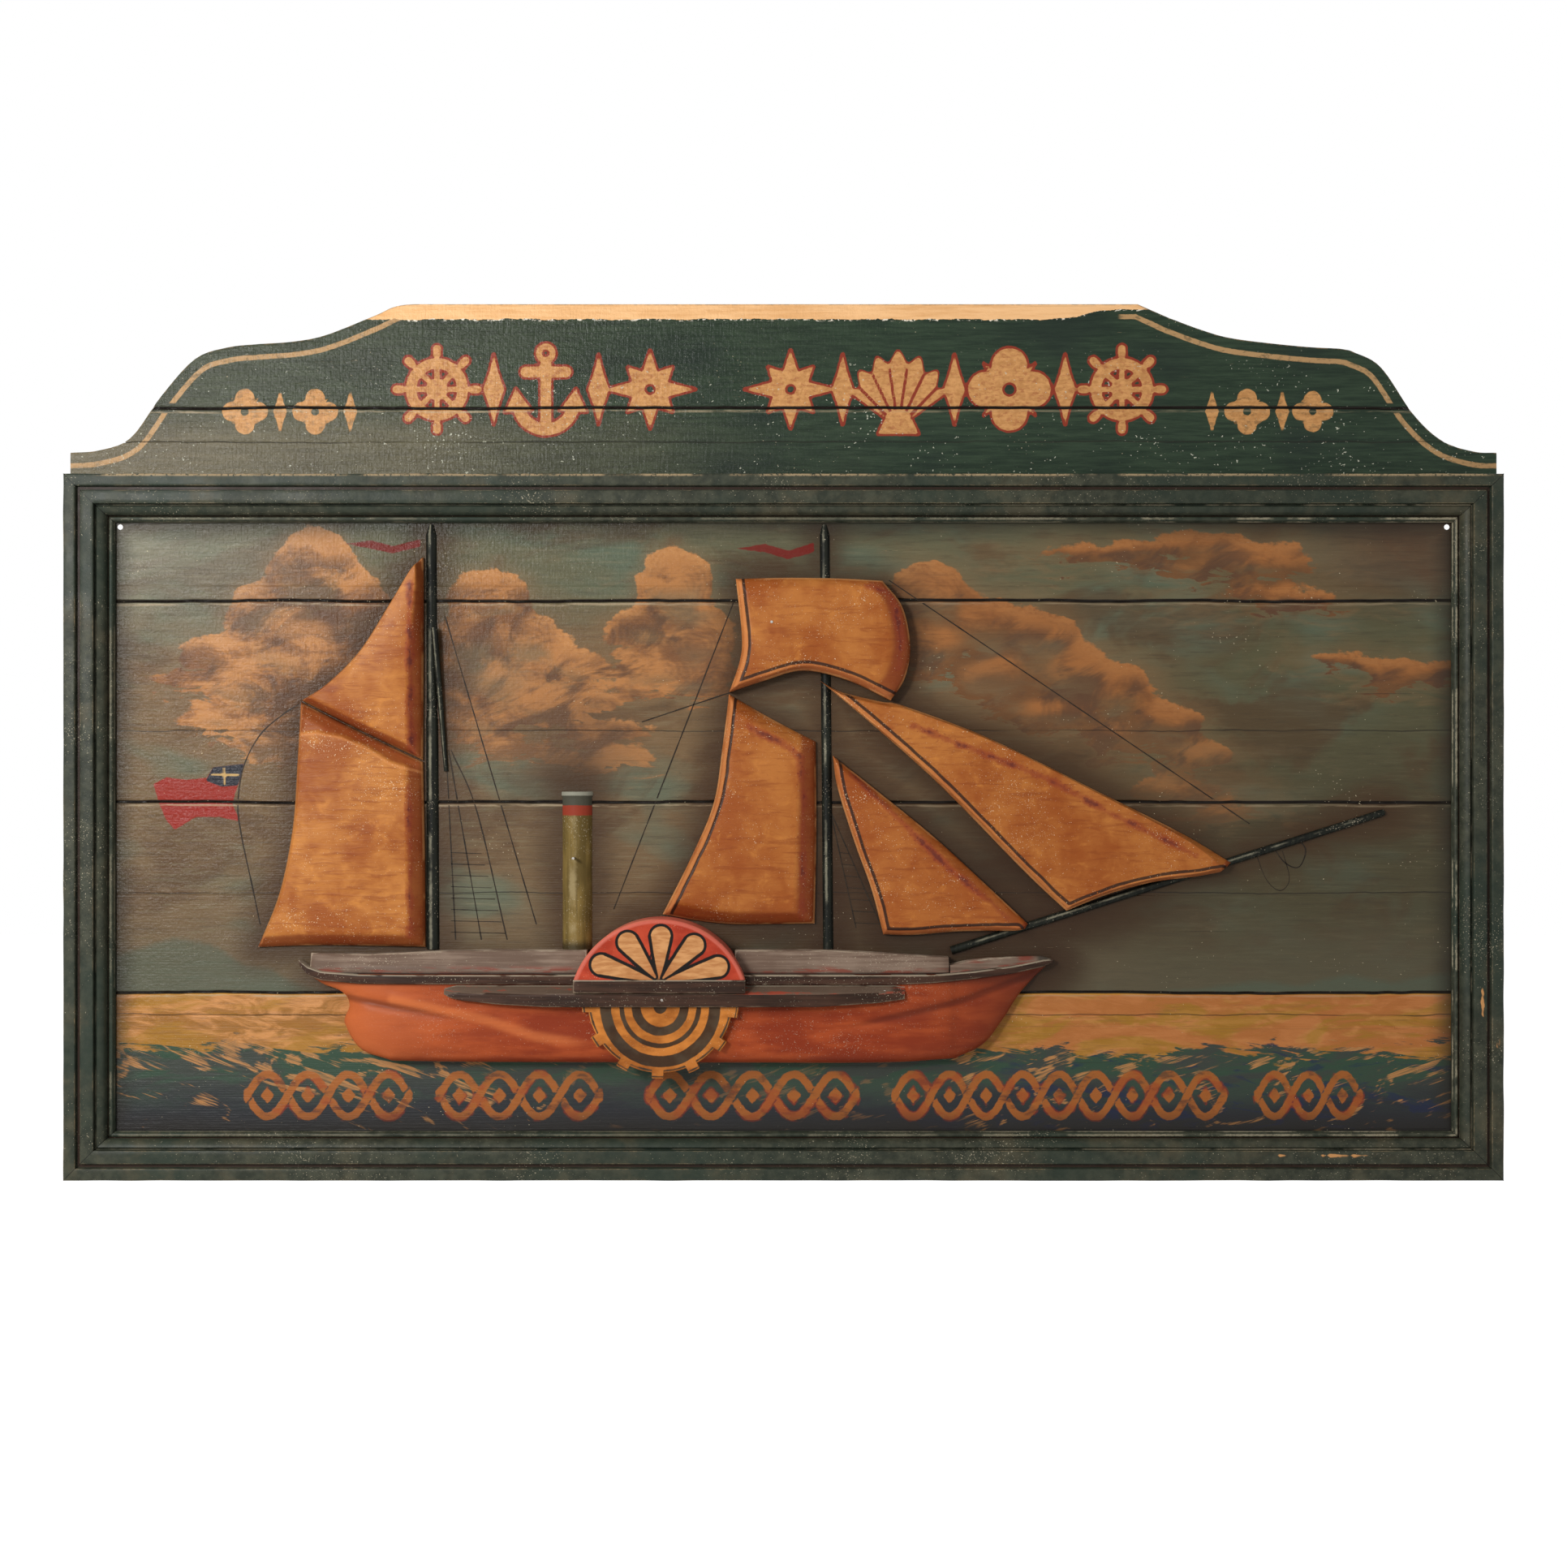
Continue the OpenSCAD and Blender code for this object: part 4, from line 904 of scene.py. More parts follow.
def sail_look():
    """Amber varnish over carved wood, stained red and purple on its ridges, with a black inset line, painted
    highlights on its left bevels and painted shade on its foot and right bevels and in its folds.
    """
    k = Look("sail_paint", roughness=0.4, specular=0.1)
    soft = k.noise((52, 64), 3.0, seed=61)
    grain = k.noise((30, 4), 4.0, 0.6, 0.5, seed=62)
    crisp = k.noise((3, 3), 3.0, 0.65, seed=63)
    blot = k.noise((18, 14), 4.0, 0.65, 0.6, seed=64)
    edge, stain = k.fact("edge"), k.fact("stain")
    # Painted highlights on the left bevels
    lights = k.step(k.plus(k.fact("light"), soft, 0.4), 0.5, 1.1)
    smear = k.noise((20, 20), 4.0, 0.6, seed=65)
    broken = k.plus(k.plus(stain, k.even(smear), 2.6), crisp, 0.5)
    stained = k.step(stain, 0.05, 0.4)
    speck = k.times(k.step(crisp, 0.6, 0.68), k.step(k.plus(stain, soft, 1.0), 0.5, 0.9))
    wobble = k.plus(k.fact("line"), k.even(k.noise((26, 26), 3.0, seed=66)), 2.4)
    inked = k.step(k.math("ABSOLUTE", wobble), 1.7, 0.9)
    rim = k.times(k.step(edge, 1.9, 0.8), k.step(k.noise((30, 30), 4.0, seed=67), 0.42, 0.56))
    colour = k.layers((135, 72, 29), (
        ((170, 109, 52), k.step(k.plus(soft, blot, 0.5), 0.56, 0.96)),
        ((130, 61, 24), k.fact("warm"), 0.75),
        ((114, 52, 23), k.step(grain, 0.5, 0.7), 0.5),
        ((192, 124, 56), k.step(blot, 0.56, 0.74), 0.28),
        # Painted shade on the foot and right bevels
        ((112, 46, 24), k.step(k.plus(k.fact("slope"), soft, 0.5), 0.35, 1.1), 0.7),
        ((194, 128, 76), lights, 0.45),
        ((122, 50, 32), k.step(broken, 0.5, 1.2), stained, 0.6),
        ((70, 28, 32), k.step(broken, 1.1, 1.6), stained, 0.7),
        ((96, 30, 26), speck, 0.5),
        ((190, 120, 70), k.step(wobble, -0.8, -1.8), k.fact("inset"), 0.3),
        ((26, 22, 20), inked, k.step(crisp, 0.24, 0.36), 0.88),
        ((208, 148, 92), rim, 0.5),
        # Painted shade in the folds
        ((52, 26, 16), k.fact("crease_shade"), 0.8),
        ((58, 30, 18), k.step(k.fact("behind"), 0.05, 0.4), 0.85),
        ((224, 200, 166), k.flecks(1.2, 0.9, 68), 0.55)))
    height = k.plus(k.plus(grain, crisp, 0.25), soft, 0.4)
    rough = k.plus(0.28, k.noise((30, 30), 3.0, seed=69), 0.25)
    return k.finish(colour, height, 0.35, rough)


def wood_paint(name, dark, light, worn, seed, grain=(60, 3), edge=1.2, gloss=0.3, chip=0.5):
    """Old paint with a grain, darker and lighter patches, and worn edges."""
    k = Look(name, roughness=0.42, specular=0.09)
    fine = k.noise(grain, 4.0, 0.6, seed=seed)
    soft = k.noise((50, 40), 3.0, seed=seed + 1)
    crisp = k.noise((3, 3), 3.0, 0.6, seed=seed + 2)
    rub = k.times(k.step(k.plus(k.fact("edge"), crisp, 1.2), edge + 0.6, edge - 0.2),
                  k.step(k.noise((30, 30), 4.0, seed=seed + 3), 0.42, 0.6))
    colour = k.layers(dark, (
        (light, k.step(k.plus(fine, soft, 0.8), 0.7, 1.1)),
        (worn, rub, 0.7),
        ((196, 184, 158), k.flecks(1.2, 0.895, seed + 4), chip)))
    height = k.plus(fine, crisp, 0.3)
    rough = k.plus(gloss, k.noise((20, 20), 3.0, seed=seed + 6), 0.25)
    return k, colour, height, rough


def plain_paint(*values, **more):
    """Old paint with nothing more on it."""
    k, colour, height, rough = wood_paint(*values, **more)
    return k.finish(colour, height, 0.3, rough)


def hull_look():
    """Orange-red hull that darkens towards the bow and the keel, with painted shade in the carved creases
    and under the strake, and a painted highlight on the stern ridge.
    """
    k, colour, height, rough = wood_paint(
        "hull_paint", (118, 44, 21), (149, 66, 32), (182, 112, 66), 71, grain=(60, 10), chip=0.3)
    fall = k.plus(k.x, k.noise((120, 60), 3.0, seed=78), 160.0)
    colour = k.over((171, 89, 47), colour, k.step(fall, -330.0, -150.0))
    low = k.step(k.plus(k.z, k.noise((60, 20), 3.0, seed=79), 14.0), -258.0, -264.0)
    colour = k.layers(colour, (
        ((102, 43, 25), k.step(fall, 120.0, 300.0), 0.7),
        ((104, 40, 24), low, 0.6),
        # Painted highlight on the stern ridge, painted shade in the carved creases, and painted shade along
        # the top under the strake and the guard
        ((198, 112, 62), k.step(k.fact("ridge"), 0.1, 1.0), 0.42),
        ((58, 22, 15), k.step(k.fact("crease_shade"), 0.1, 1.0), 0.55),
        ((70, 30, 20), k.step(k.z, -209.0, -203.0), 0.6)))
    return k.finish(colour, height, 0.35, rough)


def box_look():
    """Red paddle box with a pink rim and ochre petals outlined in black."""
    k, colour, height, rough = wood_paint(
        "box_paint", (144, 46, 28), (170, 64, 41), (190, 118, 80), 81, grain=(20, 12), edge=1.0)
    crisp = k.noise((5, 5), 3.0, seed=86)
    petal = k.plus(k.fact("petal"), crisp, 0.5)
    ochre = k.over((161, 108, 64), (185, 134, 86), k.step(k.noise((14, 3), 3.0, seed=87), 0.35, 0.65))
    ochre = k.over(ochre, (150, 88, 48), k.step(k.fact("along"), 26.0, 8.0), 0.6)
    colour = k.layers(colour, (
        ((186, 98, 82), k.step(k.fact("edge"), 4.4, 2.6), 0.65),
        ((20, 16, 14), k.step(petal, 1.9, 1.3)),
        (ochre, k.step(petal, -0.5, -1.1))))
    return k.finish(colour, height, 0.25, rough)


def wheel_look():
    """Ochre paddle wheel with black rings."""
    k, colour, height, rough = wood_paint(
        "wheel_paint", (140, 80, 30), (182, 112, 48), (194, 138, 82), 91, grain=(20, 10), edge=1.0)
    ring = k.plus(k.fact("ring"), k.even(k.noise((8, 8), 3.0, seed=97)), 1.4)
    colour = k.over(colour, (108, 54, 20), k.step(k.z, -250.0, -285.0), 0.4)
    black = k.over((30, 27, 22), (48, 46, 38), k.step(k.noise((20, 20), 3.0, seed=98), 0.4, 0.6))
    colour = k.over(colour, black, k.step(ring, -0.4, 0.4), 0.93)
    return k.finish(colour, height, 0.25, rough)


def funnel_look():
    """Olive funnel with a red band under a dark top."""
    k, colour, height, rough = wood_paint(
        "funnel_paint", (82, 67, 34), (114, 94, 50), (140, 124, 88), 101, grain=(4, 60), gloss=0.45)
    top = k.plus(k.z, k.noise((6, 4), 3.0, seed=107), 1.4)
    colour = k.layers(colour, (
        ((124, 48, 32), k.step(top, -63.4, -62.8)),
        ((62, 60, 50), k.step(top, -54.8, -54.2)),
        ((124, 122, 108), k.step(k.z, -47.2, -46.6)),
        ((26, 22, 16), k.step(k.z, -168.0, -176.0), 0.8)))
    return k.finish(colour, height, 0.3, rough)


def bulwark_look():
    """Grey-purple deck strip, with red wear at its foot and on the bow leaf."""
    k, colour, height, rough = wood_paint(
        "bulwark_paint", (94, 76, 64), (122, 104, 90), (164, 148, 128), 131, grain=(60, 2.4))
    wear = k.step(k.noise((26, 4), 4.0, 0.6, seed=138), 0.46, 0.6)
    foot = k.step(k.fact("share"), 0.42, 0.2)
    bow = k.times(k.step(k.x, 150.0, 170.0), k.step(k.x, 216.0, 208.0), k.step(k.fact("share"), 0.4, 0.6))
    colour = k.layers(colour, (
        ((116, 52, 40), k.math("MAXIMUM", foot, bow), wear, 0.75),
        ((40, 32, 28), k.step(k.fact("share"), 0.14, 0.04), 0.85),
        ((52, 50, 44), k.step(k.x, 214.0, 219.0), 0.8)))
    return k.finish(colour, height, 0.3, rough)


def trim_look():
    """Dark brown trim with grey on its bevels, a whitish upper edge and some raw red wear."""
    k, colour, height, rough = wood_paint(
        "trim_paint", (40, 27, 20), (62, 42, 32), (112, 96, 78), 141)
    wear = k.noise((30, 5), 4.0, 0.6, seed=148)
    grey = k.times(k.step(k.fact("bevel"), 0.4, 0.6), k.step(k.x, 95.0, 88.0), k.plus(0.35, wear, 0.8))
    line = k.times(k.step(k.fact("top"), 1.1, 0.6), k.step(wear, 0.36, 0.46))
    colour = k.layers(colour, (
        ((94, 78, 65), grey),
        ((128, 58, 42), k.step(k.fact("bevel"), 0.4, 0.6), k.step(wear, 0.56, 0.64)),
        ((160, 148, 128), line, 0.6)))
    return k.finish(colour, height, 0.3, rough)


def pine_look():
    """Bare aged pine of the battens."""
    k = Look("bare_pine", roughness=0.7, specular=0.2)
    grain = k.noise((3, 120), 4.0, 0.6, 0.5, seed=111)
    soft = k.noise((40, 120), 3.0, seed=112)
    colour = k.over((150, 112, 72), (196, 156, 108), k.step(k.plus(grain, soft, 0.6), 0.6, 1.1))
    colour = k.over(colour, (96, 66, 40), k.step(k.noise((2, 90), 3.0, seed=113), 0.6, 0.7), 0.6)
    return k.finish(colour, grain, 0.4)


def steel_look():
    """Dull steel of screws and pins."""
    k = Look("dull_steel", roughness=0.4, specular=0.5, metallic=1.0)
    spots = k.noise((3, 3), 4.0, seed=121)
    colour = k.over((150, 146, 140), (96, 78, 62), k.step(spots, 0.5, 0.7), 0.8)
    return k.finish(colour, spots, 0.1)


BOARD_PAINT = board_look()
FRAME_PAINT = frame_look()
SAIL_PAINT = sail_look()
HULL_PAINT = hull_look()
BOX_PAINT = box_look()
WHEEL_PAINT = wheel_look()
FUNNEL_PAINT = funnel_look()
BULWARK_PAINT = bulwark_look()
TRIM_PAINT = trim_look()
SPAR_PAINT = plain_paint(
    "spar_paint", (13, 14, 11), (28, 30, 24), (120, 116, 98), 151, grain=(3, 60), gloss=0.36)
LINE_PAINT = plain_paint("line_paint", (30, 25, 20), (46, 38, 30), (60, 48, 38), 161, chip=0.0)
PINE = pine_look()
STEEL = steel_look()


# Boards

# How much darker the bare wood of each board is behind
BOARD_TONES = [0.3, 0.9, 0.1, 0.6, 0.0, 0.7]

# Where grid lines run beside the middle of a groove, and beside that of a wall hole
GROOVE_LINES = (-4, -3, -2.4, -1.9, -1.2, -0.5, 0, 0.5, 1.2, 1.9, 2.4, 3, 4)
HOLE_LINES = (-9, -2.2, 0, 2.2, 9)


def board_rows(low, high):
    """Heights of the grid lines of a board, with more of them at its edges and its groove."""
    spacing = 2.0
    rows = set(np.round(np.linspace(low, high, int((high - low) / spacing) + 1), 3))
    extra = [low + 0.4, low + 0.9, high - 0.9, high - 0.4]
    for groove in GROOVES:
        if low < groove < high:
            rows = {r for r in rows if abs(r - groove) > GROOVE_LINES[-1] + 0.2}
            extra += [groove + d for d in GROOVE_LINES]
    return np.array(sorted(rows | set(extra)))


def round_hole(values, middle):
    """Grid lines with those of a wall hole in place of the ones near it."""
    kept = values[np.abs(values - middle) > HOLE_LINES[-1] + 1.5]
    return np.sort(np.concatenate([kept, middle + np.array(HOLE_LINES)]))


def board_grid(i, low, high):
    """x and z grids of board i, which end at the crest's outline."""
    rows = board_rows(low, high)
    xs = np.unique(np.concatenate([np.linspace(-BOARD_HALF, BOARD_HALF, 610),
                                   [-BOARD_HALF + 0.5, BOARD_HALF - 0.5]]))
    if i == 1:
        dense = np.linspace(-BOARD_HALF, BOARD_HALF, 24000)
        dense = dense[height_at(CREST, dense) > low + 0.3]
        inside = (xs > dense[0] + 0.2) & (xs < dense[-1] - 0.2)
        xs = np.concatenate([dense[:1], xs[inside], dense[-1:]])
    if i == 2:
        for hx, hz in WALL_HOLES:
            xs = round_hole(xs, hx)
        rows = round_hole(rows, hz)
    top = np.minimum(height_at(CREST, xs), high)
    x, z = np.meshgrid(xs, rows)
    keep, bend = GROOVES[0] + 4, GROOVES[0] + 8
    if i == 1:
        tall = np.maximum(top, bend)
        z = np.where(z > keep, keep + (z - keep) * (tall - keep) / (high - keep), z)
        z = np.where(top < bend, low + (z - low) * (top - low) / (bend - low), z)
    if i == 2:
        start = low + 60
        z = np.where(z > start, start + (z - start) * (top - start) / (high - start), z)
    return x, z


def make_board(i):
    """Board i with its grooves, its worn edges and the numbers that its paint follows."""
    low, high = (corner[2] for corner in reach(f"board_{i}"))
    x, z = board_grid(i, low, high)
    groove = np.full(x.shape, 30.0)
    for g in GROOVES:
        away = z - g - 0.7 * ripple(x, 0 * x, 70, int(g) + 9) - 0.3 * ripple(x, 0 * x, 12, int(g))
        groove = np.where(np.abs(away) < np.abs(groove), away, groove)
    front = BOARD_FACE - np.maximum(0, GROOVE_HALF - np.abs(groove)) * GROOVE_SLOPE
    seam = np.minimum(z - low if i < 6 else 30 + 0 * z, high - z if i > 1 else 30 + 0 * z)
    seam_drop, seam_w = 0.25, 0.6
    front -= seam_drop * np.maximum(0, 1 - seam / seam_w)
    bevel_h, bevel_t = 14, 3
    front -= np.maximum(0, z - (CREST_Z - bevel_h)) * bevel_t / bevel_h
    front -= eased(np.minimum(to_line(x, z, CREST), 30), 1.1, 2.2)
    front -= uneven(x, z * 3, 0.12, 60, 2)
    facts = picture(x, z)
    facts["groove"] = groove
    facts["seam"] = seam
    facts["tone"] = np.full(x.shape, BOARD_TONES[i - 1])
    holes = [(hx, hz, WALL_HOLE_R) for hx, hz in WALL_HOLES] if i == 2 else ()
    relief(f"painted_board_{i}", x, z, front, BOARD_BACK, BOARD_PAINT, "board_paint",
           [f"board_{i}"], facts, holes, angle=30)


for number in range(1, 7):
    make_board(number)


# Frame

# Sections of a frame rail and of the moulding: distance in from the sign's edge, and height over the boards
RAIL_SECTION = (
    [(0, 0), (0, 9), (0, 18)] + arc_points(1.5, 18.5, 1.5, 165, 90, 4)
    + [(4, 20), (6.5, 20)] + arc_points(9.2, 18.7, 1.3, 90, 10, 4)
    + [(10.6, 15.2), (11, 14.6), (12.2, 14.5), (13.5, 14.6), (13.9, 15.2)]
    + arc_points(15, 17.5, 1, 170, 90, 3) + [(18, 18.5), (21.5, 18.4)]
    + arc_points(24.4, 17.4, 1, 90, 0, 3) + [(25.5, 9), (25.5, 0)])
MOULD_SECTION = (
    [(25.5, 0), (25.5, 12.8), (26.4, 13)] + arc_points(26.5, 7.5, 8, 80, 0, 8)
    + [(34.5, 5.4), (35, 5.0), (35.4, 5.2)] + arc_points(37.1, 5, 2.1, 160, 0, 7)
    + [(39.6, 4.4), (40, 3.6), (40, 0)])
ARRISES = [(0.5, 19.5), (10.1, 19.6), (14.3, 18.2), (25.2, 18.1)]
BEADS = [(26.4, 13), (34.4, 6.6), (37.1, 7.1), (39.8, 4)]
QUIRKS = [(12.2, 14.5), (25.5, 11), (34.9, 5), (40, 2)]

# Raw chips on the frame: x, z and half sizes in mm
CHIPS = [(470, -352.6, 36, 3), (421, -352, 7, 2.4), (592, -222, 2.6, 20), (605, -254, 2.6, 11)]


def filled(section):
    """A section with no long sides, so that wear can follow it."""
    longest = 2
    out = []
    for (a, h), (a2, h2) in zip(section, section[1:]):
        n = max(1, int(math.hypot(a2 - a, h2 - h) / longest))
        out += [(a + (a2 - a) * t / n, h + (h2 - h) * t / n) for t in range(n)]
    return np.array(out + [section[-1]])


def closest(shape, marks):
    """Distance from each point of a section to the nearest of some marks."""
    return [min(math.dist(p, q) for q in marks) for p in shape]


def swept(name, section, length, turn, node):
    """A section swept along one side of the frame, mitred, and turned into its place."""
    shape = filled(section)
    m, n = len(shape), int(length / 3.4)
    t = np.linspace(-1, 1, n)
    a, h = shape[:, 0][None, :], shape[:, 1][None, :]
    run = t[:, None] * (length / 2 - a)
    dents = 0.5 * np.maximum(0, ripple(run, a * 4 + 0 * run, 9, turn + 7) - 0.55)
    free = smooth(1.0, 6.0, h)
    tall = h - (uneven(run, a * 2 + 0 * run, 0.22, 30, turn) + dents) * free
    wide = a + np.where(a < 2, uneven(run, h + 0 * run, 0.25, 24, turn + 3) * free, 0)
    mid_z = (FRAME_HIGH[2] + FRAME_LOW[2]) / 2
    middle = [(0, FRAME_LOW[2]), (FRAME_HIGH[0], mid_z), (0, FRAME_HIGH[2]), (FRAME_LOW[0], mid_z)][turn]
    cos, sin = [(1, 0), (0, 1), (-1, 0), (0, -1)][turn]
    x = middle[0] + run * cos - wide * sin
    z = middle[1] + run * sin + wide * cos
    points = np.stack([x, -(BOARD_FACE + tall) + 0 * x, z], 2).reshape(-1, 3)
    faces = []
    for s in range(n - 1):
        for j in range(m):
            k = (j + 1) % m
            faces.append([s * m + j, s * m + k, (s + 1) * m + k, (s + 1) * m + j])
    faces.append(list(range(m - 1, -1, -1)))
    faces.append([(n - 1) * m + j for j in range(m)])
    chip = np.zeros(x.shape)
    for cx, cz, rx, rz in CHIPS:
        chip = np.maximum(chip, 1 - np.hypot((x - cx) / rx, (z - cz) / rz) + 0.3 * ripple(x, z, 4, 2))
    facts = {"arris": np.tile(closest(shape, ARRISES), n), "bead": np.tile(closest(shape, BEADS), n),
             "quirk": np.tile(closest(shape, QUIRKS), n), "chip": chip.ravel(),
             "mitre": ((1 - np.abs(t))[:, None] * (length / 2 - a)).ravel()}
    piece(name, points, faces, FRAME_PAINT, "frame_paint", [node], facts, angle=38)


for turns, side_name in enumerate(("bottom", "right", "top", "left")):
    side_length = (FRAME_HIGH - FRAME_LOW)[0 if turns % 2 == 0 else 2]
    swept(f"rail_{side_name}", RAIL_SECTION, side_length, turns, f"frame_rail_{side_name}")
    swept(f"ovolo_{side_name}", MOULD_SECTION, side_length, turns, f"moulding_{side_name}")


# Sails

SAIL_BEVEL = 15

# Bevel widths at foot, head, left and right as shares of the full bevel, thickness at the middle and at
# the edge, the edges that carry a black inset line (0 foot, 1 head, 2 left, 3 right), how far inside it
# runs, and how warm and dark the varnish is
SAIL_FORM = {
    "gaff_topsail": ((0.65, 0.2, 0.2, 0.9), 16, 5, (), 0, 0.1),
    "aft_mainsail": ((0.85, 0.8, 0.3, 1.0), 16, 5, (), 0, 0.0),
    "square_topsail": ((0.4, 0.5, 0.55, 1.2), 22, 15, (0, 2), 6.5, 0.35),
    "fore_gaff_sail": ((0.85, 0.9, 0.5, 1.1), 16, 5, (2,), 6.5, 0.4),
    "outer_jib": ((0.4, 0.7, 0.4, 0.4), 16, 8, (0, 2), 5.6, 0.35),
    "inner_jib": ((0.45, 0.8, 0.4, 0.4), 14, 8, (0, 2), 5.6, 0.7),
}
STAINS = {
    "gaff_topsail": [(-317, 132), (-317, 60), (-316, -12)],
    "aft_mainsail": [(-318, -40), (-317, -165)],
    "square_topsail": [(70, 130), (88, 126), (96, 110), (99, 85), (97, 62)],
    "fore_gaff_sail": [(-30, 12), (5, -6), (14, -14), (17, -60), (16, -150)],
    "outer_jib": [(110, 12), (172, -12), (223, -32), (285, -66), (350, -98)],
    "inner_jib": [(58, -28), (93, -62), (140, -108), (190, -150)],
}
LIP = [(-416, 5), (-396, 7), (-375, 3), (-354, -5.5), (-333, -19), (-305, -27)]


def bevel_lines(w, a, b, middle):
    """Shares of a width w at which grid lines run, with some in the bevels a and b wide at its ends."""
    steps = 6
    m = np.maximum(w, (a + b) / 0.9)[..., None]
    e, f = a / m, b / m
    t = np.linspace(0, 1, steps + 1)
    between = e + (1 - e - f) * np.linspace(0, 1, middle + 1)
    return np.concatenate([e * t[:-1], between, 1 - f * (1 - t[1:])], -1)


def bevelled(d, w):
    """Share of full height at distance d up a bevel w wide."""
    return 1 - (1 - np.clip(d / w, 0, 1)) ** 1.4


def sail_grid(edges, b, middle, rows):
    """Shares across and up, and width and height in mm, at every grid point of a sail."""
    def span(u, v, u2, v2):
        return np.linalg.norm(patch_at(edges, u2, v2) - patch_at(edges, u, v), axis=-1)

    nominal = bevel_lines(span(0.0, 0.5, 1.0, 0.5), b[2], b[3], middle)
    v = bevel_lines(span(nominal, 0.0, nominal, 1.0), b[0], b[1], rows).T
    wide = span(0.0, v, 1.0, v)
    lines = bevel_lines(wide, b[2], b[3], middle)
    u = lines[:, np.arange(v.shape[1]), np.arange(v.shape[1])]
    return u, v, wide, span(u, 0.0, u, 1.0)


def make_sail(name):
    """A carved sail: bevels that meet in hips, a raised middle, and the numbers that its varnish, its
    painted highlights and its painted shade follow.
    """
    widths, thick, edge_t, chosen, inset, warm = SAIL_FORM[name]
    edges = SAILS[name]
    b = np.array(widths) * SAIL_BEVEL
    low, high = reach(name)
    step = 2.1
    u, v, wide, tall = sail_grid(edges, b, int((high - low)[0] / step), int((high - low)[2] / step))
    p = patch_at(edges, u, v)
    x, z = p[..., 0], p[..., 1]
    to_edges = [v * tall, (1 - v) * tall, u * wide, (1 - u) * wide]
    hips = 7.0
    share = 1 - sum((1 - bevelled(d, w)) ** hips for d, w in zip(to_edges, b)) ** (1 / hips)
    belly = 1.5 * np.sin(np.pi * u) * np.sin(np.pi * v)
    height = edge_t + (thick - edge_t + belly) * np.clip(share, 0, 1)
    edge = to_line(x, z, np.vstack([outline(edges, 24), outline(edges, 24)[:1]]))
    height -= eased(edge, 2.2, 3.6) + uneven(x, z, 0.3, 26, 5) * smooth(1, 8, edge)
    height -= uneven(x, z, 0.3, 7, 6) * smooth(0, 3, edge) * (1 - smooth(3, 12, edge))
    # Painted shade in the fold where the gaff topsail meets the aft mainsail
    crease_shade = np.zeros(x.shape)
    # Share of painted highlight: on the left bevel, and along the lip of the aft mainsail
    light = (1 - smooth(0.5, 1.1, to_edges[2] / b[2])) * smooth(1, 3, edge)
    if name == "aft_mainsail":
        away = side_of(x, z, LIP)
        height -= 2.2 * smooth(-1.2, 2.5, away) * smooth(0, 6, edge)
        light = np.maximum(light, np.exp(-((away + 1) / 1.5) ** 2))
        crease_shade = 0.8 * (1 - smooth(0.3, 2.6, to_edges[1]))
    if name == "gaff_topsail":
        crease_shade = 0.9 * (1 - smooth(0.3, 2.2, to_edges[0]))
    # Share of painted shade: on the foot and right bevels, and under the lip of the aft mainsail
    slope = np.maximum.reduce([1 - smooth(0.55, 1.05, to_edges[i] / b[i]) for i in (0, 3)])
    if name == "aft_mainsail":
        slope = np.maximum(slope, 0.8 * smooth(0, 3, side_of(x, z, LIP)))
    stain = np.exp(-(to_line(x, z, STAINS[name]) / 3.8) ** 2)
    lines = [to_line(x, z, curve(edges[i], 30)) for i in chosen]
    line = np.minimum.reduce(lines) - inset if chosen else 0 * x + 30
    facts = {"edge": edge, "line": line, "crease_shade": crease_shade, "light": light, "slope": slope, "stain": stain,
             "warm": 0 * x + warm, "inset": 0 * x + (1 if chosen else 0)}
    # The sails are cut away behind where they cross the fore mast and the bowsprit
    back = np.full(x.shape, float(BOARD_FACE))
    if name in ("square_topsail", "outer_jib"):
        back += 4.4 * (to_line(x, z, FORE_MAST) < 5.6)
    if name == "outer_jib":
        back += 5 * (to_line(x, z, BOWSPRIT) < 4.4)
    relief(f"carved_{name}", x, z, BOARD_FACE + height, back, SAIL_PAINT, "sail_paint", [name], facts,
           angle=50)


for sail_name in SAILS:
    make_sail(sail_name)


# Hull and its strips

HULL_T = HULL_FACE - BOARD_FACE
HULL_PLAN = curve([[-404, 13], [-375, 20], [-340, HULL_T - 2.5], [-290, HULL_T], [-100, HULL_T],
                   [110, HULL_T], [150, HULL_T - 5], [190, 15], [229, 6]], 48)
STERN_CREASE = [(-369, -218), (-350, -221), (-332, -224.5), (-300, -230), (-277, -235), (-240, -245)]
STERN_RIDGE = [(-330, -219), (-291, -227), (-250, -236), (-209, -250), (-150, -258)]
BOW_CREASE = [(215, -198), (181, -209.5), (147, -221), (92, -233.5), (24, -248)]


def hull_depth(x):
    """How far the hull stands before the boards at x."""
    return np.minimum(HULL_T, height_at(HULL_PLAN, x))


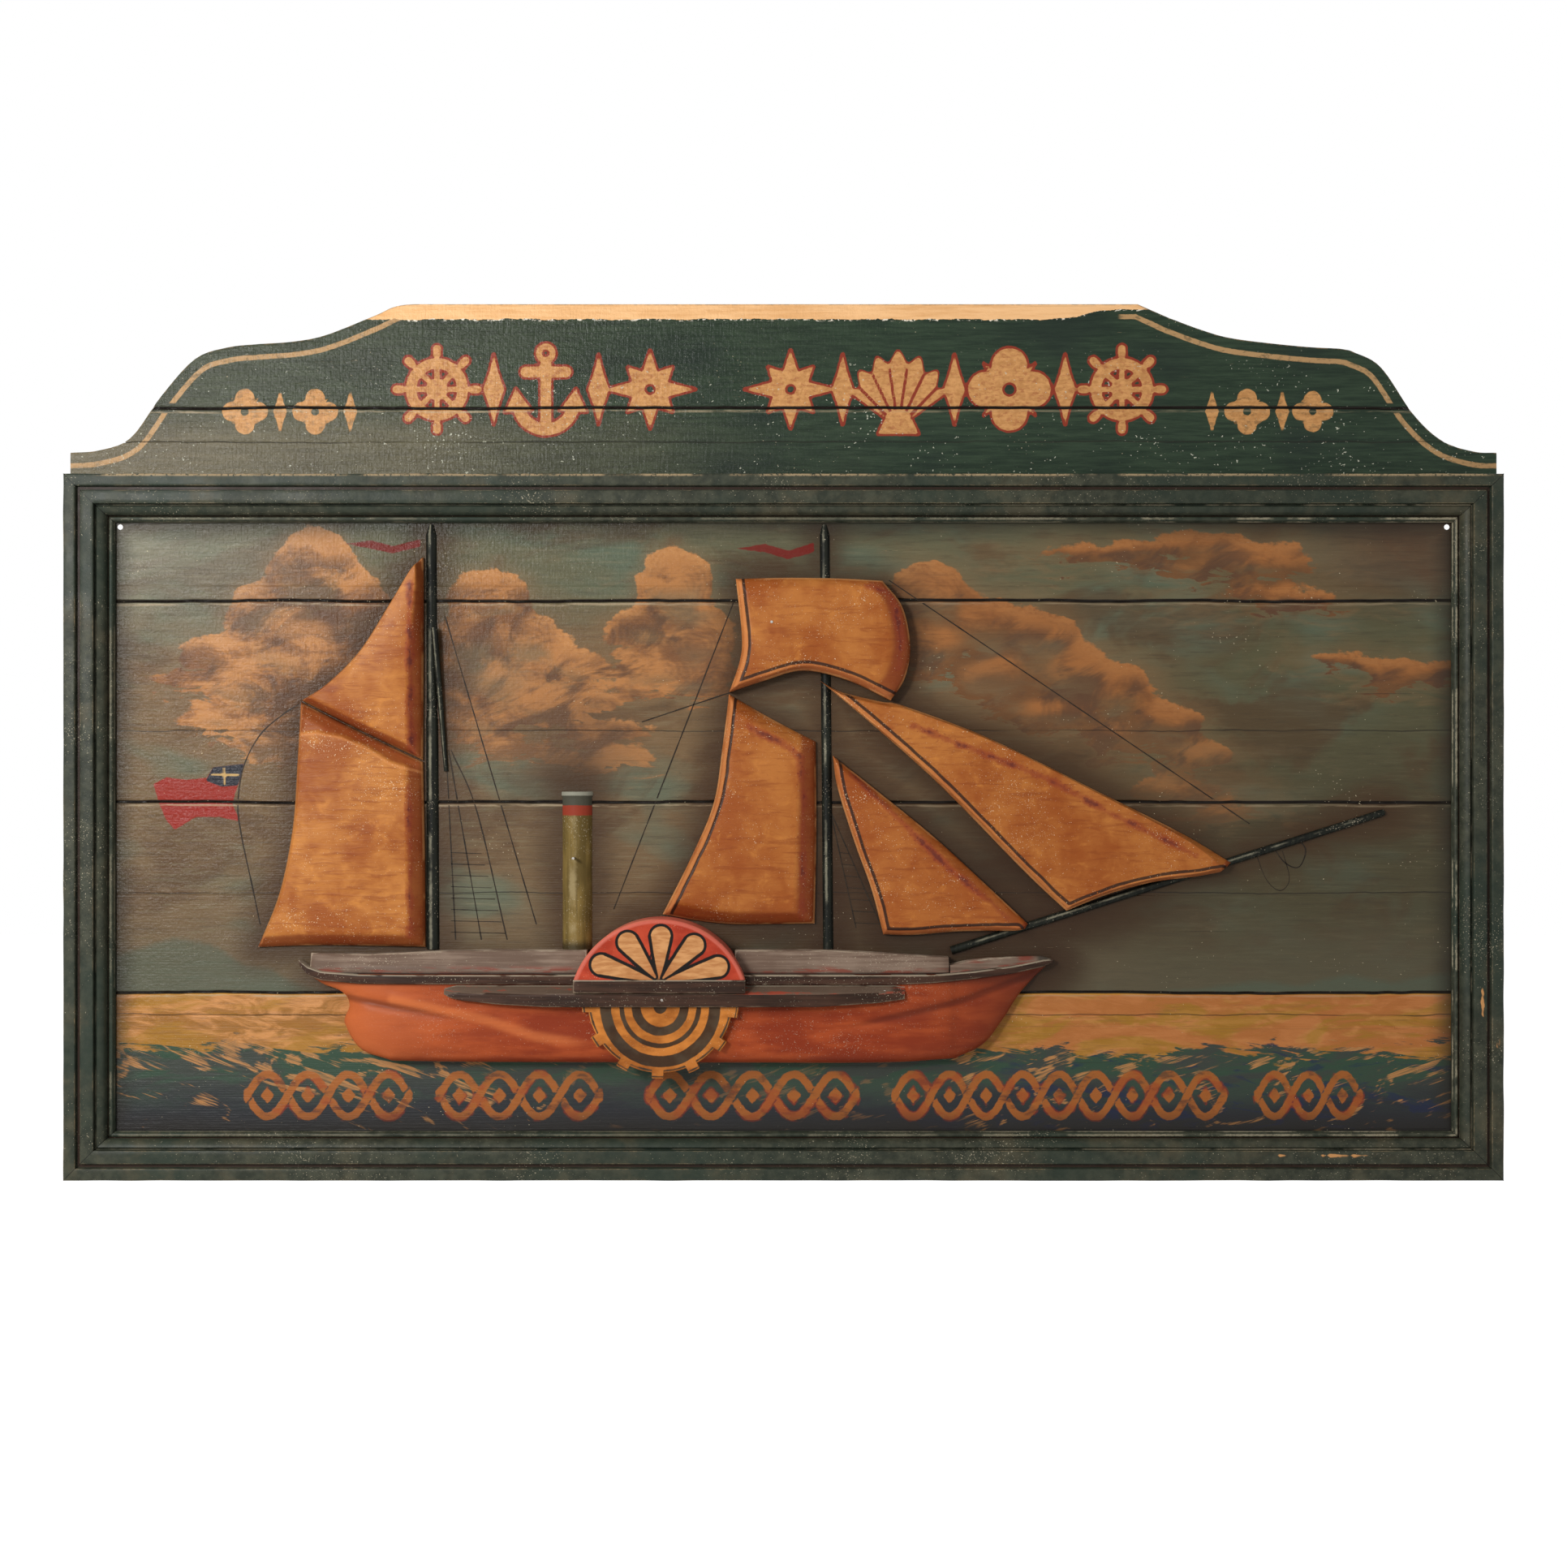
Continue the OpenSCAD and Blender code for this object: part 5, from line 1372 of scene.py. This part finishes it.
def make_hull():
    """The hull, rounded at its keel and ends, with the carved creases and the ridge at its stern."""
    u, v = np.meshgrid(gathered(230, 0.55), gathered(48, 0.5))
    p = patch_at(HULL_EDGES, u, v)
    x, z = p[..., 0], p[..., 1]
    foot, head, left, right = (to_line(x, z, curve(e, 24)) for e in HULL_EDGES)
    edge = np.minimum.reduce([foot, left, right])
    depth = hull_depth(x) * (0.45 + 0.55 * rounded(edge, 20))
    depth -= eased(edge, 1.2, 1.6)
    stern = to_line(x, z, curve(STERN_CREASE, 16))
    bow = to_line(x, z, curve(BOW_CREASE, 16))
    fade = np.minimum(1, smooth(-236, -330, x) + smooth(20, 110, x))
    carve = np.exp(-(np.minimum(stern, bow) / 3.4) ** 2) * fade
    ridge = np.exp(-(to_line(x, z, STERN_RIDGE) / 5) ** 2) * (1 - smooth(-200, -140, x))
    depth -= 2.0 * carve - 0.8 * ridge + uneven(x, z, 0.25, 28, 7)
    depth = np.minimum(depth, hull_depth(x) * 0.999)
    # carve also gives the painted shade in the creases, and ridge the painted highlight on the stern ridge
    facts = {"edge": edge, "crease_shade": carve, "ridge": ridge}
    relief("carved_hull", x, z, BOARD_FACE + depth, BOARD_FACE, HULL_PAINT, "hull_paint", ["hull"], facts,
           angle=50)


def strip(name, node, look, slot_name, left, right, bottom, top, section, back=BOARD_FACE, bevel=0):
    """A long piece between two lines. section gives its front at shares up its height, for each x."""
    xs = np.linspace(left, right, int((right - left) / 2.6) + 2)
    shares = np.array([0, 0.03, 0.08, 0.15, 0.25, 0.35, 0.45, 0.55, 0.65, 0.75, 0.85, 0.92, 0.97, 1.0])
    x, share = np.meshgrid(xs, shares)
    z = height_at(bottom, x) + (height_at(top, x) - height_at(bottom, x)) * share
    front = section(x, share, z) - uneven(x, z * 2, 0.15, 18, len(name))
    under_top = height_at(top, x) - z
    edge = np.minimum.reduce([z - height_at(bottom, x), under_top, x - left, right - x])
    front = front - eased(edge, 0.8, 1.1)
    facts = {"edge": edge, "share": share, "top": under_top, "bevel": (under_top < bevel) * 1.0}
    relief(name, x, z, front, back, look, slot_name, [node], facts, angle=40)


BULWARK_TOP = [[-403, -181], [-353, -181.5], [-300, -179], [-250, DECK_Z], [40, DECK_Z], [93, -181],
               [141, -184]]
BOW_TOP = [[141, -190.5], [155, -187.3], [175, -185], [205, -183.8], [219, -183.6], [228, -185.8]]
STRAKE_TOP = [[-411, -186], [-404, -192], [-392, -196], [-358, SHEER_Z], [92, SHEER_Z], [127, -198],
              [161, -195.5], [195, -191.5], [222, -186.5], [229, -186]]
STRAKE_BOTTOM = [[-411, -190], [-404, -199], [-392, -203], [-358, -205.5], [24, -206], [92, -206],
                 [127, -204.5], [161, -201.5], [195, -197.5], [222, -192], [229, -188.5]]
GUARD_DEPTH = [[-286, 4], [-270, 7.5], [-230, 11], [-170, 14], [-40, 14], [30, 12], [80, 8], [102, 4.5]]
GUARD_TOP = [[-286, -209], [-276, -206.5], [94, -206.5], [102, -208]]
GUARD_FOOT, GUARD_BEVEL = -224, 6.5
GUARD_BOTTOM = [[-286, -214], [-280, -217], [-270, -219], [-240, -222], [-200, GUARD_FOOT],
                [30, GUARD_FOOT], [80, -221], [102, -218]]
SILL_TOP, SILL_H = -201, 11


def bulwark_section(x, share, z):
    """Upright foot, then a slope that leans back to the top."""
    foot = height_at(HULL_EDGES[1], x)
    full = BOARD_FACE + hull_depth(x) - 5
    return full - 6 * np.clip((z - foot - 6) / (height_at(BULWARK_TOP, x) - foot - 6), 0, 1)


def bow_section(x, share, z):
    """A leaf that leans back to its top."""
    return BOARD_FACE + hull_depth(x) - 2 - 3 * share


def strake_section(x, share, z):
    """A flat rail a little before the hull."""
    return BOARD_FACE + hull_depth(x) + 3.5


def guard_section(x, share, z):
    """Upright face with a wide bevel along its top."""
    depth = height_at(GUARD_DEPTH, x)
    up_bevel = np.maximum(0, z - height_at(GUARD_TOP, x) + GUARD_BEVEL)
    return HULL_FACE + depth - up_bevel * depth / GUARD_BEVEL * 0.9


def sill_section(x, share, z):
    """A plain block."""
    return HULL_FACE + 18 + 0 * x


def box_edge(z):
    """Half width of the paddle box at a height."""
    return math.sqrt(BOX_R ** 2 - (z - BOX_Z) ** 2)


make_hull()
box_left, box_right = BOX_X - box_edge(-190) + 4, BOX_X + box_edge(-190) - 4
for parts in (
        ("bulwark_strip_aft", "bulwark_aft", -403, box_left, HULL_EDGES[1], BULWARK_TOP, bulwark_section),
        ("bulwark_strip_fore", "bulwark_fore", box_right, 140, HULL_EDGES[1], BULWARK_TOP, bulwark_section),
        ("bow_leaf", "bulwark_bow", 141, 228, HULL_EDGES[1], BOW_TOP, bow_section)):
    strip(parts[0], parts[1], BULWARK_PAINT, "bulwark_paint", *parts[2:])
for parts in (("strake_aft", "rail_aft", -411, BOX_X - 70), ("strake_fore", "rail_fore", BOX_X + 70, 229)):
    strip(parts[0], parts[1], TRIM_PAINT, "trim_paint", parts[2], parts[3], STRAKE_BOTTOM, STRAKE_TOP,
          strake_section)
strip("guard_plank", "guard_board", TRIM_PAINT, "trim_paint", -286, 102, GUARD_BOTTOM, GUARD_TOP,
      guard_section, HULL_FACE - 1, GUARD_BEVEL)
strip("sill_block", "paddle_box_sill", TRIM_PAINT, "trim_paint", BOX_X - 72, BOX_X + 72,
      [[-200, SILL_TOP - SILL_H], [0, SILL_TOP - SILL_H]], [[-200, SILL_TOP], [0, SILL_TOP]],
      sill_section, HULL_FACE)


# Paddle box and wheel

# Petals of the paddle box: direction in degrees and length
PETALS = [(163, 60), (128, 52), (88, 48), (47, 52), (15, 60)]
PETAL_FOOT = -203


def make_box():
    """The half disc of the paddle box over its sill, with the outlines of its painted petals."""
    start = math.degrees(math.asin((SILL_TOP - BOX_Z) / BOX_R))
    half = box_edge(SILL_TOP)
    edges = [[(BOX_X - half, SILL_TOP), (BOX_X, SILL_TOP), (BOX_X + half, SILL_TOP)]]
    spans = ((130, 50), (180 - start, 130), (start, 50))
    edges += [arc_points(BOX_X, BOX_Z, BOX_R, a, b, 12) for a, b in spans]
    u, v = np.meshgrid(gathered(130, 0.6), gathered(70, 0.6))
    p = patch_at(edges, u, v)
    x, z = p[..., 0], p[..., 1]
    edge = np.maximum(0, BOX_R - np.hypot(x - BOX_X, z - BOX_Z))
    top = -reach("paddle_box")[0][1]
    front = top - eased(edge, 2.2, 2.6) - uneven(x, z, 0.15, 14, 8)
    petal, near = np.full(x.shape, 30.0), np.full(x.shape, 60.0)
    for angle, length in PETALS:
        a = math.radians(angle)
        along = (x - BOX_X) * math.cos(a) + (z - PETAL_FOOT) * math.sin(a)
        aside = -(x - BOX_X) * math.sin(a) + (z - PETAL_FOOT) * math.cos(a)
        wide = 9.3
        tip = length - wide
        wedge = np.abs(aside) - wide * np.clip(along / tip, 0, 1) ** 0.75
        body = np.where(along < tip, wedge * 0.85, np.hypot(along - tip, aside) - wide)
        body = np.where(along < 0, 30, body)
        near = np.where(body < petal, along, near)
        petal = np.minimum(petal, body)
    facts = {"edge": np.minimum(edge, 20), "petal": petal, "along": near}
    relief("painted_paddle_box", x, z, front, BOARD_FACE, BOX_PAINT, "box_paint", ["paddle_box"], facts,
           angle=40)


WHEEL_X, WHEEL_Z, WHEEL_R, WHEEL_T = -103.5, -218.5, 61, 8
HUB_Z = -224.4
RINGS = [5.5, 16.4, 24, 30.5, 34.2, 41, 50.5]
FLOAT_W, FLOAT_OUT, FLOAT_PITCH, LOWEST_FLOAT = 10, 5, 360 / 13, -92


def make_wheel():
    """The lower half of the paddle wheel, with the ends of its floats and the numbers of its black rings."""
    angle = np.radians(np.linspace(-180, 0, 520))
    t = np.linspace(1, 80, 800)[:, None]
    px, pz = t * np.cos(angle), GUARD_FOOT + t * np.sin(angle) - WHEEL_Z
    r, a = np.hypot(px, pz), np.degrees(np.arctan2(pz, px))
    limit = np.full(r.shape, float(WHEEL_R))
    for i in range(-3, 4):
        aside = r * np.abs(np.sin(np.radians(a - LOWEST_FLOAT - i * FLOAT_PITCH)))
        limit = np.where(aside < FLOAT_W / 2, WHEEL_R + FLOAT_OUT, limit)
    far = (r < limit).sum(0) * (t[1, 0] - t[0, 0]) + t[0, 0]
    share = np.concatenate([np.linspace(0, 0.96, 56), [0.975, 0.99, 1.0]])
    x = WHEEL_X + share[::-1, None] * far * np.cos(angle)
    z = GUARD_FOOT + share[::-1, None] * far * np.sin(angle)
    edge = (1 - share[::-1, None]) * far
    front = HULL_FACE + WHEEL_T - eased(edge, 0.9, 1.3) - uneven(x, z, 0.12, 12, 9)
    hub = np.hypot(x - WHEEL_X, z - HUB_Z)
    ring = RINGS[0] - hub
    for inner, outer in zip(RINGS[1::2], RINGS[2::2]):
        ring = np.maximum(ring, np.minimum(hub - inner, outer - hub))
    ring = np.maximum(ring, 0.7 - np.abs(edge - 1.7))
    relief("painted_wheel", x, z, front, HULL_FACE, WHEEL_PAINT, "wheel_paint", ["paddle_wheel"],
           {"edge": edge, "ring": ring}, angle=35, weld=True)


make_box()
make_wheel()


# Funnel, masts and spars


def pole(name, node, look, slot_name, foot, head, profile, dents=0.15, sides=28):
    """A round spar from foot to head, each (x, z, depth before the boards), that lies flat on the boards.

    profile gives its radius at distances along it."""
    foot, head = np.array(foot, float), np.array(head, float)
    length = np.linalg.norm(head - foot)
    way = (head - foot) / length
    knots = [s for s, _ in profile] + [length]
    along = np.unique(np.round(np.concatenate([np.linspace(0, length, int(length / 3)), knots]), 3))
    turn = np.linspace(0, 2 * np.pi, sides, endpoint=False)
    s, phi = np.meshgrid(along, turn, indexing="ij")
    r = height_at(profile, s) - dents * (0.5 + 0.5 * ripple(s, phi * 6, 15, len(name)))
    axis = foot[2] + way[2] * s
    proud = axis + r * np.cos(phi)
    widest = np.sqrt(np.maximum(0.01, r ** 2 - np.minimum(axis, 0) ** 2))
    aside = np.where(proud < 0, np.clip(r * np.sin(phi), -widest, widest), r * np.sin(phi))
    proud = np.maximum(proud, 0)
    flat = math.hypot(way[0], way[1])
    x = foot[0] + way[0] * s + aside * way[1] / flat
    z = foot[1] + way[1] * s - aside * way[0] / flat
    rows, n = s.shape
    points = np.stack([x, -(BOARD_FACE + proud), z], 2).reshape(-1, 3)
    first = np.arange((rows - 1) * n).reshape(rows - 1, n)
    after = np.roll(first, -1, 1)
    faces = np.stack([first, after, after + n, first + n], 2).reshape(-1, 4).tolist()
    ends = [points[:n].mean(0), points[-n:].mean(0)]
    points = np.vstack([points, ends])
    last = (rows - 1) * n
    faces += [[rows * n, (j + 1) % n, j] for j in range(n)]
    faces += [[rows * n + 1, last + j, last + (j + 1) % n] for j in range(n)]
    streak = 2.5 * np.abs(np.sin(phi * 1.5 + 0.4)) + 1.5 * (np.cos(phi) < 0)
    edge = np.minimum(streak, 3) + 0 * s
    facts = {"edge": np.concatenate([edge.ravel(), [3, 3]])}
    piece(name, points, faces, look, slot_name, [node], facts, angle=50)


pole("aft_pole", "aft_mast", SPAR_PAINT, "spar_paint", (*AFT_MAST[0], -1.5), (*AFT_MAST[1], -1.5),
     [(0, 5.7), (196, 5.45), (199, 5.0), (353.5, 4.8), (362.5, 2.4)])
pole("fore_pole", "fore_mast", SPAR_PAINT, "spar_paint", (*FORE_MAST[0], -1.5), (*FORE_MAST[1], -1.5),
     [(0, 4.7), (353.5, 4.5), (362.5, 2.4)])
pole("thin_pole", "aft_mast_spar", SPAR_PAINT, "spar_paint", (-288, -26, 0.6), (-297.3, 96, 7),
     [(0, 1.9), (122, 3)], 0.1, 16)
pole("bow_pole", "bowsprit", SPAR_PAINT, "spar_paint", (*BOWSPRIT[0], 1), (*BOWSPRIT[1], 1),
     [(0, 3.6), (200, 3.5), (384, 3.1), (388, 2.6)], 0.12, 20)
pole("funnel_tube", "funnel", FUNNEL_PAINT, "funnel_paint", (FUNNEL_X, DECK_Z, -6),
     (FUNNEL_X, FUNNEL_TOP, -6), [(0, 14), (129, 14), (131.5, 14.8), (134, 14.8), (134.5, 14.3)], 0.2, 40)


# Painted rigging: thin films that follow the boards

RIGGING = [
    [(-289, 106), (-211, -157)], [(-42, 120), (-145, -144)], [(-46, 41), (-121, 16)],
    [(90, 137), (398, -71)],
    [(-414, 31), (-428, 22), (-447, 5), (-461, -22), (-466, -54), (-463, -81), (-454, -123), (-447, -157)],
    [(-284, -8), (-262, -60), (-236, -170)], [(-288, -10), (-280, -170)], [(-286, -8), (-258, -170)],
    [(40, -60), (84, -160)], [(40, -60), (62, -160)],
    [(402, -92), (412, -118), (424, -128), (432, -118), (426, -94)],
    [(416, -88), (428, -104), (440, -108), (446, -94), (440, -84)],
]


def ratlines(apex, left_foot, right_foot, top, bottom, count):
    """Short level lines between two shrouds."""
    lines = []
    for z in np.linspace(top, bottom, count):
        share = (apex[1] - z) / (apex[1] - left_foot[1])
        a, b = (apex[0] + (end[0] - apex[0]) * share for end in (left_foot, right_foot))
        lines.append([(a, z + 0.5), (b, z - 0.5)])
    return lines


def ribbon(points, half_w):
    """Grid of a narrow strip along a smooth line."""
    length = sum(math.dist(a, b) for a, b in zip(points, points[1:]))
    path = curve(points, max(8, int(length / 3)))
    way = np.gradient(path, axis=0)
    way /= np.linalg.norm(way, axis=1)[:, None]
    share = np.array([-1, 1])[:, None]
    wide = half_w * (1 + 0.35 * ripple(path[:, 0] * 2, path[:, 1] * 2, 16, 3))
    x = path[:, 0][None, :] - share * way[:, 1][None, :] * wide
    z = path[:, 1][None, :] + share * way[:, 0][None, :] * wide
    return x, z


def groove_floor(x, z):
    """Depth in mm by which the boards may lie back at a place."""
    away = np.min([np.abs(z - g) for g in GROOVES], axis=0)
    return np.maximum(0, GROOVE_HALF + 0.5 - away) * GROOVE_SLOPE


RIGGING += ratlines((-284, -8), (-284, -170), (-236, -170), -96, -164, 8)
RIGGING += ratlines((40, -60), (62, -160), (84, -160), -96, -156, 7)
for index, route in enumerate(RIGGING):
    level = abs(route[0][1] - route[-1][1]) < 4
    lx, lz = ribbon(route, 0.26 if level else 0.46)
    relief(f"rigging_line_{index + 1}", lx, lz, BOARD_FACE - groove_floor(lx, lz) + 0.12, BOARD_FACE - 3,
           LINE_PAINT, "spar_paint", (), {"edge": 0 * lx + 5})


# CAD nodes that keep their own shape

for node_name, node_look in (("batten_left", PINE), ("batten_middle", PINE), ("batten_right", PINE),
                             ("batten_screws", STEEL), ("relief_pins", STEEL)):
    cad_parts[node_name].data.materials.clear()
    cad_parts[node_name].data.materials.append(node_look)


# Floor, light and camera

FLOOR_Z = -0.9
FLOOR_HALF = 12
FLOOR_GLOW = 0.75
SOFT_LIGHT = 0.42
WHITE = (1, 1, 1, 1)

# Lamps: name, place, aim, watts and width
LAMPS = [
    ("key", (-1.8, -1.9, 1.1), (-0.15, 0, 0), 31.5, 0.9),
    ("fill", (2.2, -2.6, 0.4), (0, 0, 0), 7, 1.6),
    ("sheen", (-1.0, -1.9, 0.42), (-0.5, 0, 0.15), 29, 0.4)]

CAMERA_PLACE = (0, -2.154, -0.037)
SENSOR_WIDTH = 36
LENS = 57.03


def seen(k):
    """1 for rays from the camera, in reflections and through glass."""
    ray = k.add("ShaderNodeLightPath")
    found = ray.outputs["Is Camera Ray"]
    for name in ("Is Glossy Ray", "Is Transmission Ray"):
        found = k.math("MAXIMUM", found, ray.outputs[name])
    return found


def make_floor():
    """A wide pale floor, far under the sign."""
    k = Look("pale_floor", roughness=0.9, specular=0.0)
    k.shader.inputs["Base Color"].default_value = (0.8, 0.8, 0.8, 1)
    k.shader.inputs["Emission Color"].default_value = WHITE
    k.tree.links.new(k.times(seen(k), FLOOR_GLOW), k.shader.inputs["Emission Strength"])
    mesh = bpy.data.meshes.new("floor")
    ways = ((-1, -1), (1, -1), (1, 1), (-1, 1))
    mesh.from_pydata([(x * FLOOR_HALF, y * FLOOR_HALF, FLOOR_Z) for x, y in ways], [], [(0, 1, 2, 3)])
    mesh.materials.append(k.material)
    obj = bpy.data.objects.new("floor", mesh)
    bpy.context.scene.collection.objects.link(obj)


def make_world():
    """White where the camera, a reflection or glass looks, and a soft grey light on everything."""
    world = bpy.data.worlds.new("studio")
    bpy.context.scene.world = world
    world.use_nodes = True
    world.node_tree.nodes.clear()
    k = Nodes(world.node_tree)
    soft, white = (k.add("ShaderNodeBackground", [WHITE, light]).outputs[0] for light in (SOFT_LIGHT, 1.0))
    mix = k.add("ShaderNodeMixShader", [seen(k), soft, white])
    k.add("ShaderNodeOutputWorld", [mix.outputs[0]])


def add_lamp(name, place, aim, watts, size):
    """A round lamp that points at aim."""
    data = bpy.data.lights.new(name, "AREA")
    data.energy = watts
    data.shape = "DISK"
    data.size = size
    obj = bpy.data.objects.new(name, data)
    obj.location = place
    obj.rotation_euler = (Vector(aim) - Vector(place)).to_track_quat("-Z", "Y").to_euler()
    bpy.context.scene.collection.objects.link(obj)


def add_camera():
    """The camera of the photo, level and square to the wall."""
    data = bpy.data.cameras.new("camera")
    data.sensor_fit = "HORIZONTAL"
    data.sensor_width = SENSOR_WIDTH
    data.lens = LENS
    obj = bpy.data.objects.new("camera", data)
    obj.location = CAMERA_PLACE
    obj.rotation_euler = (math.radians(90), 0, 0)
    bpy.context.scene.collection.objects.link(obj)
    bpy.context.scene.camera = obj


make_floor()
make_world()
for lamp in LAMPS:
    add_lamp(*lamp)
add_camera()
bpy.context.scene.view_settings.view_transform = "Standard"
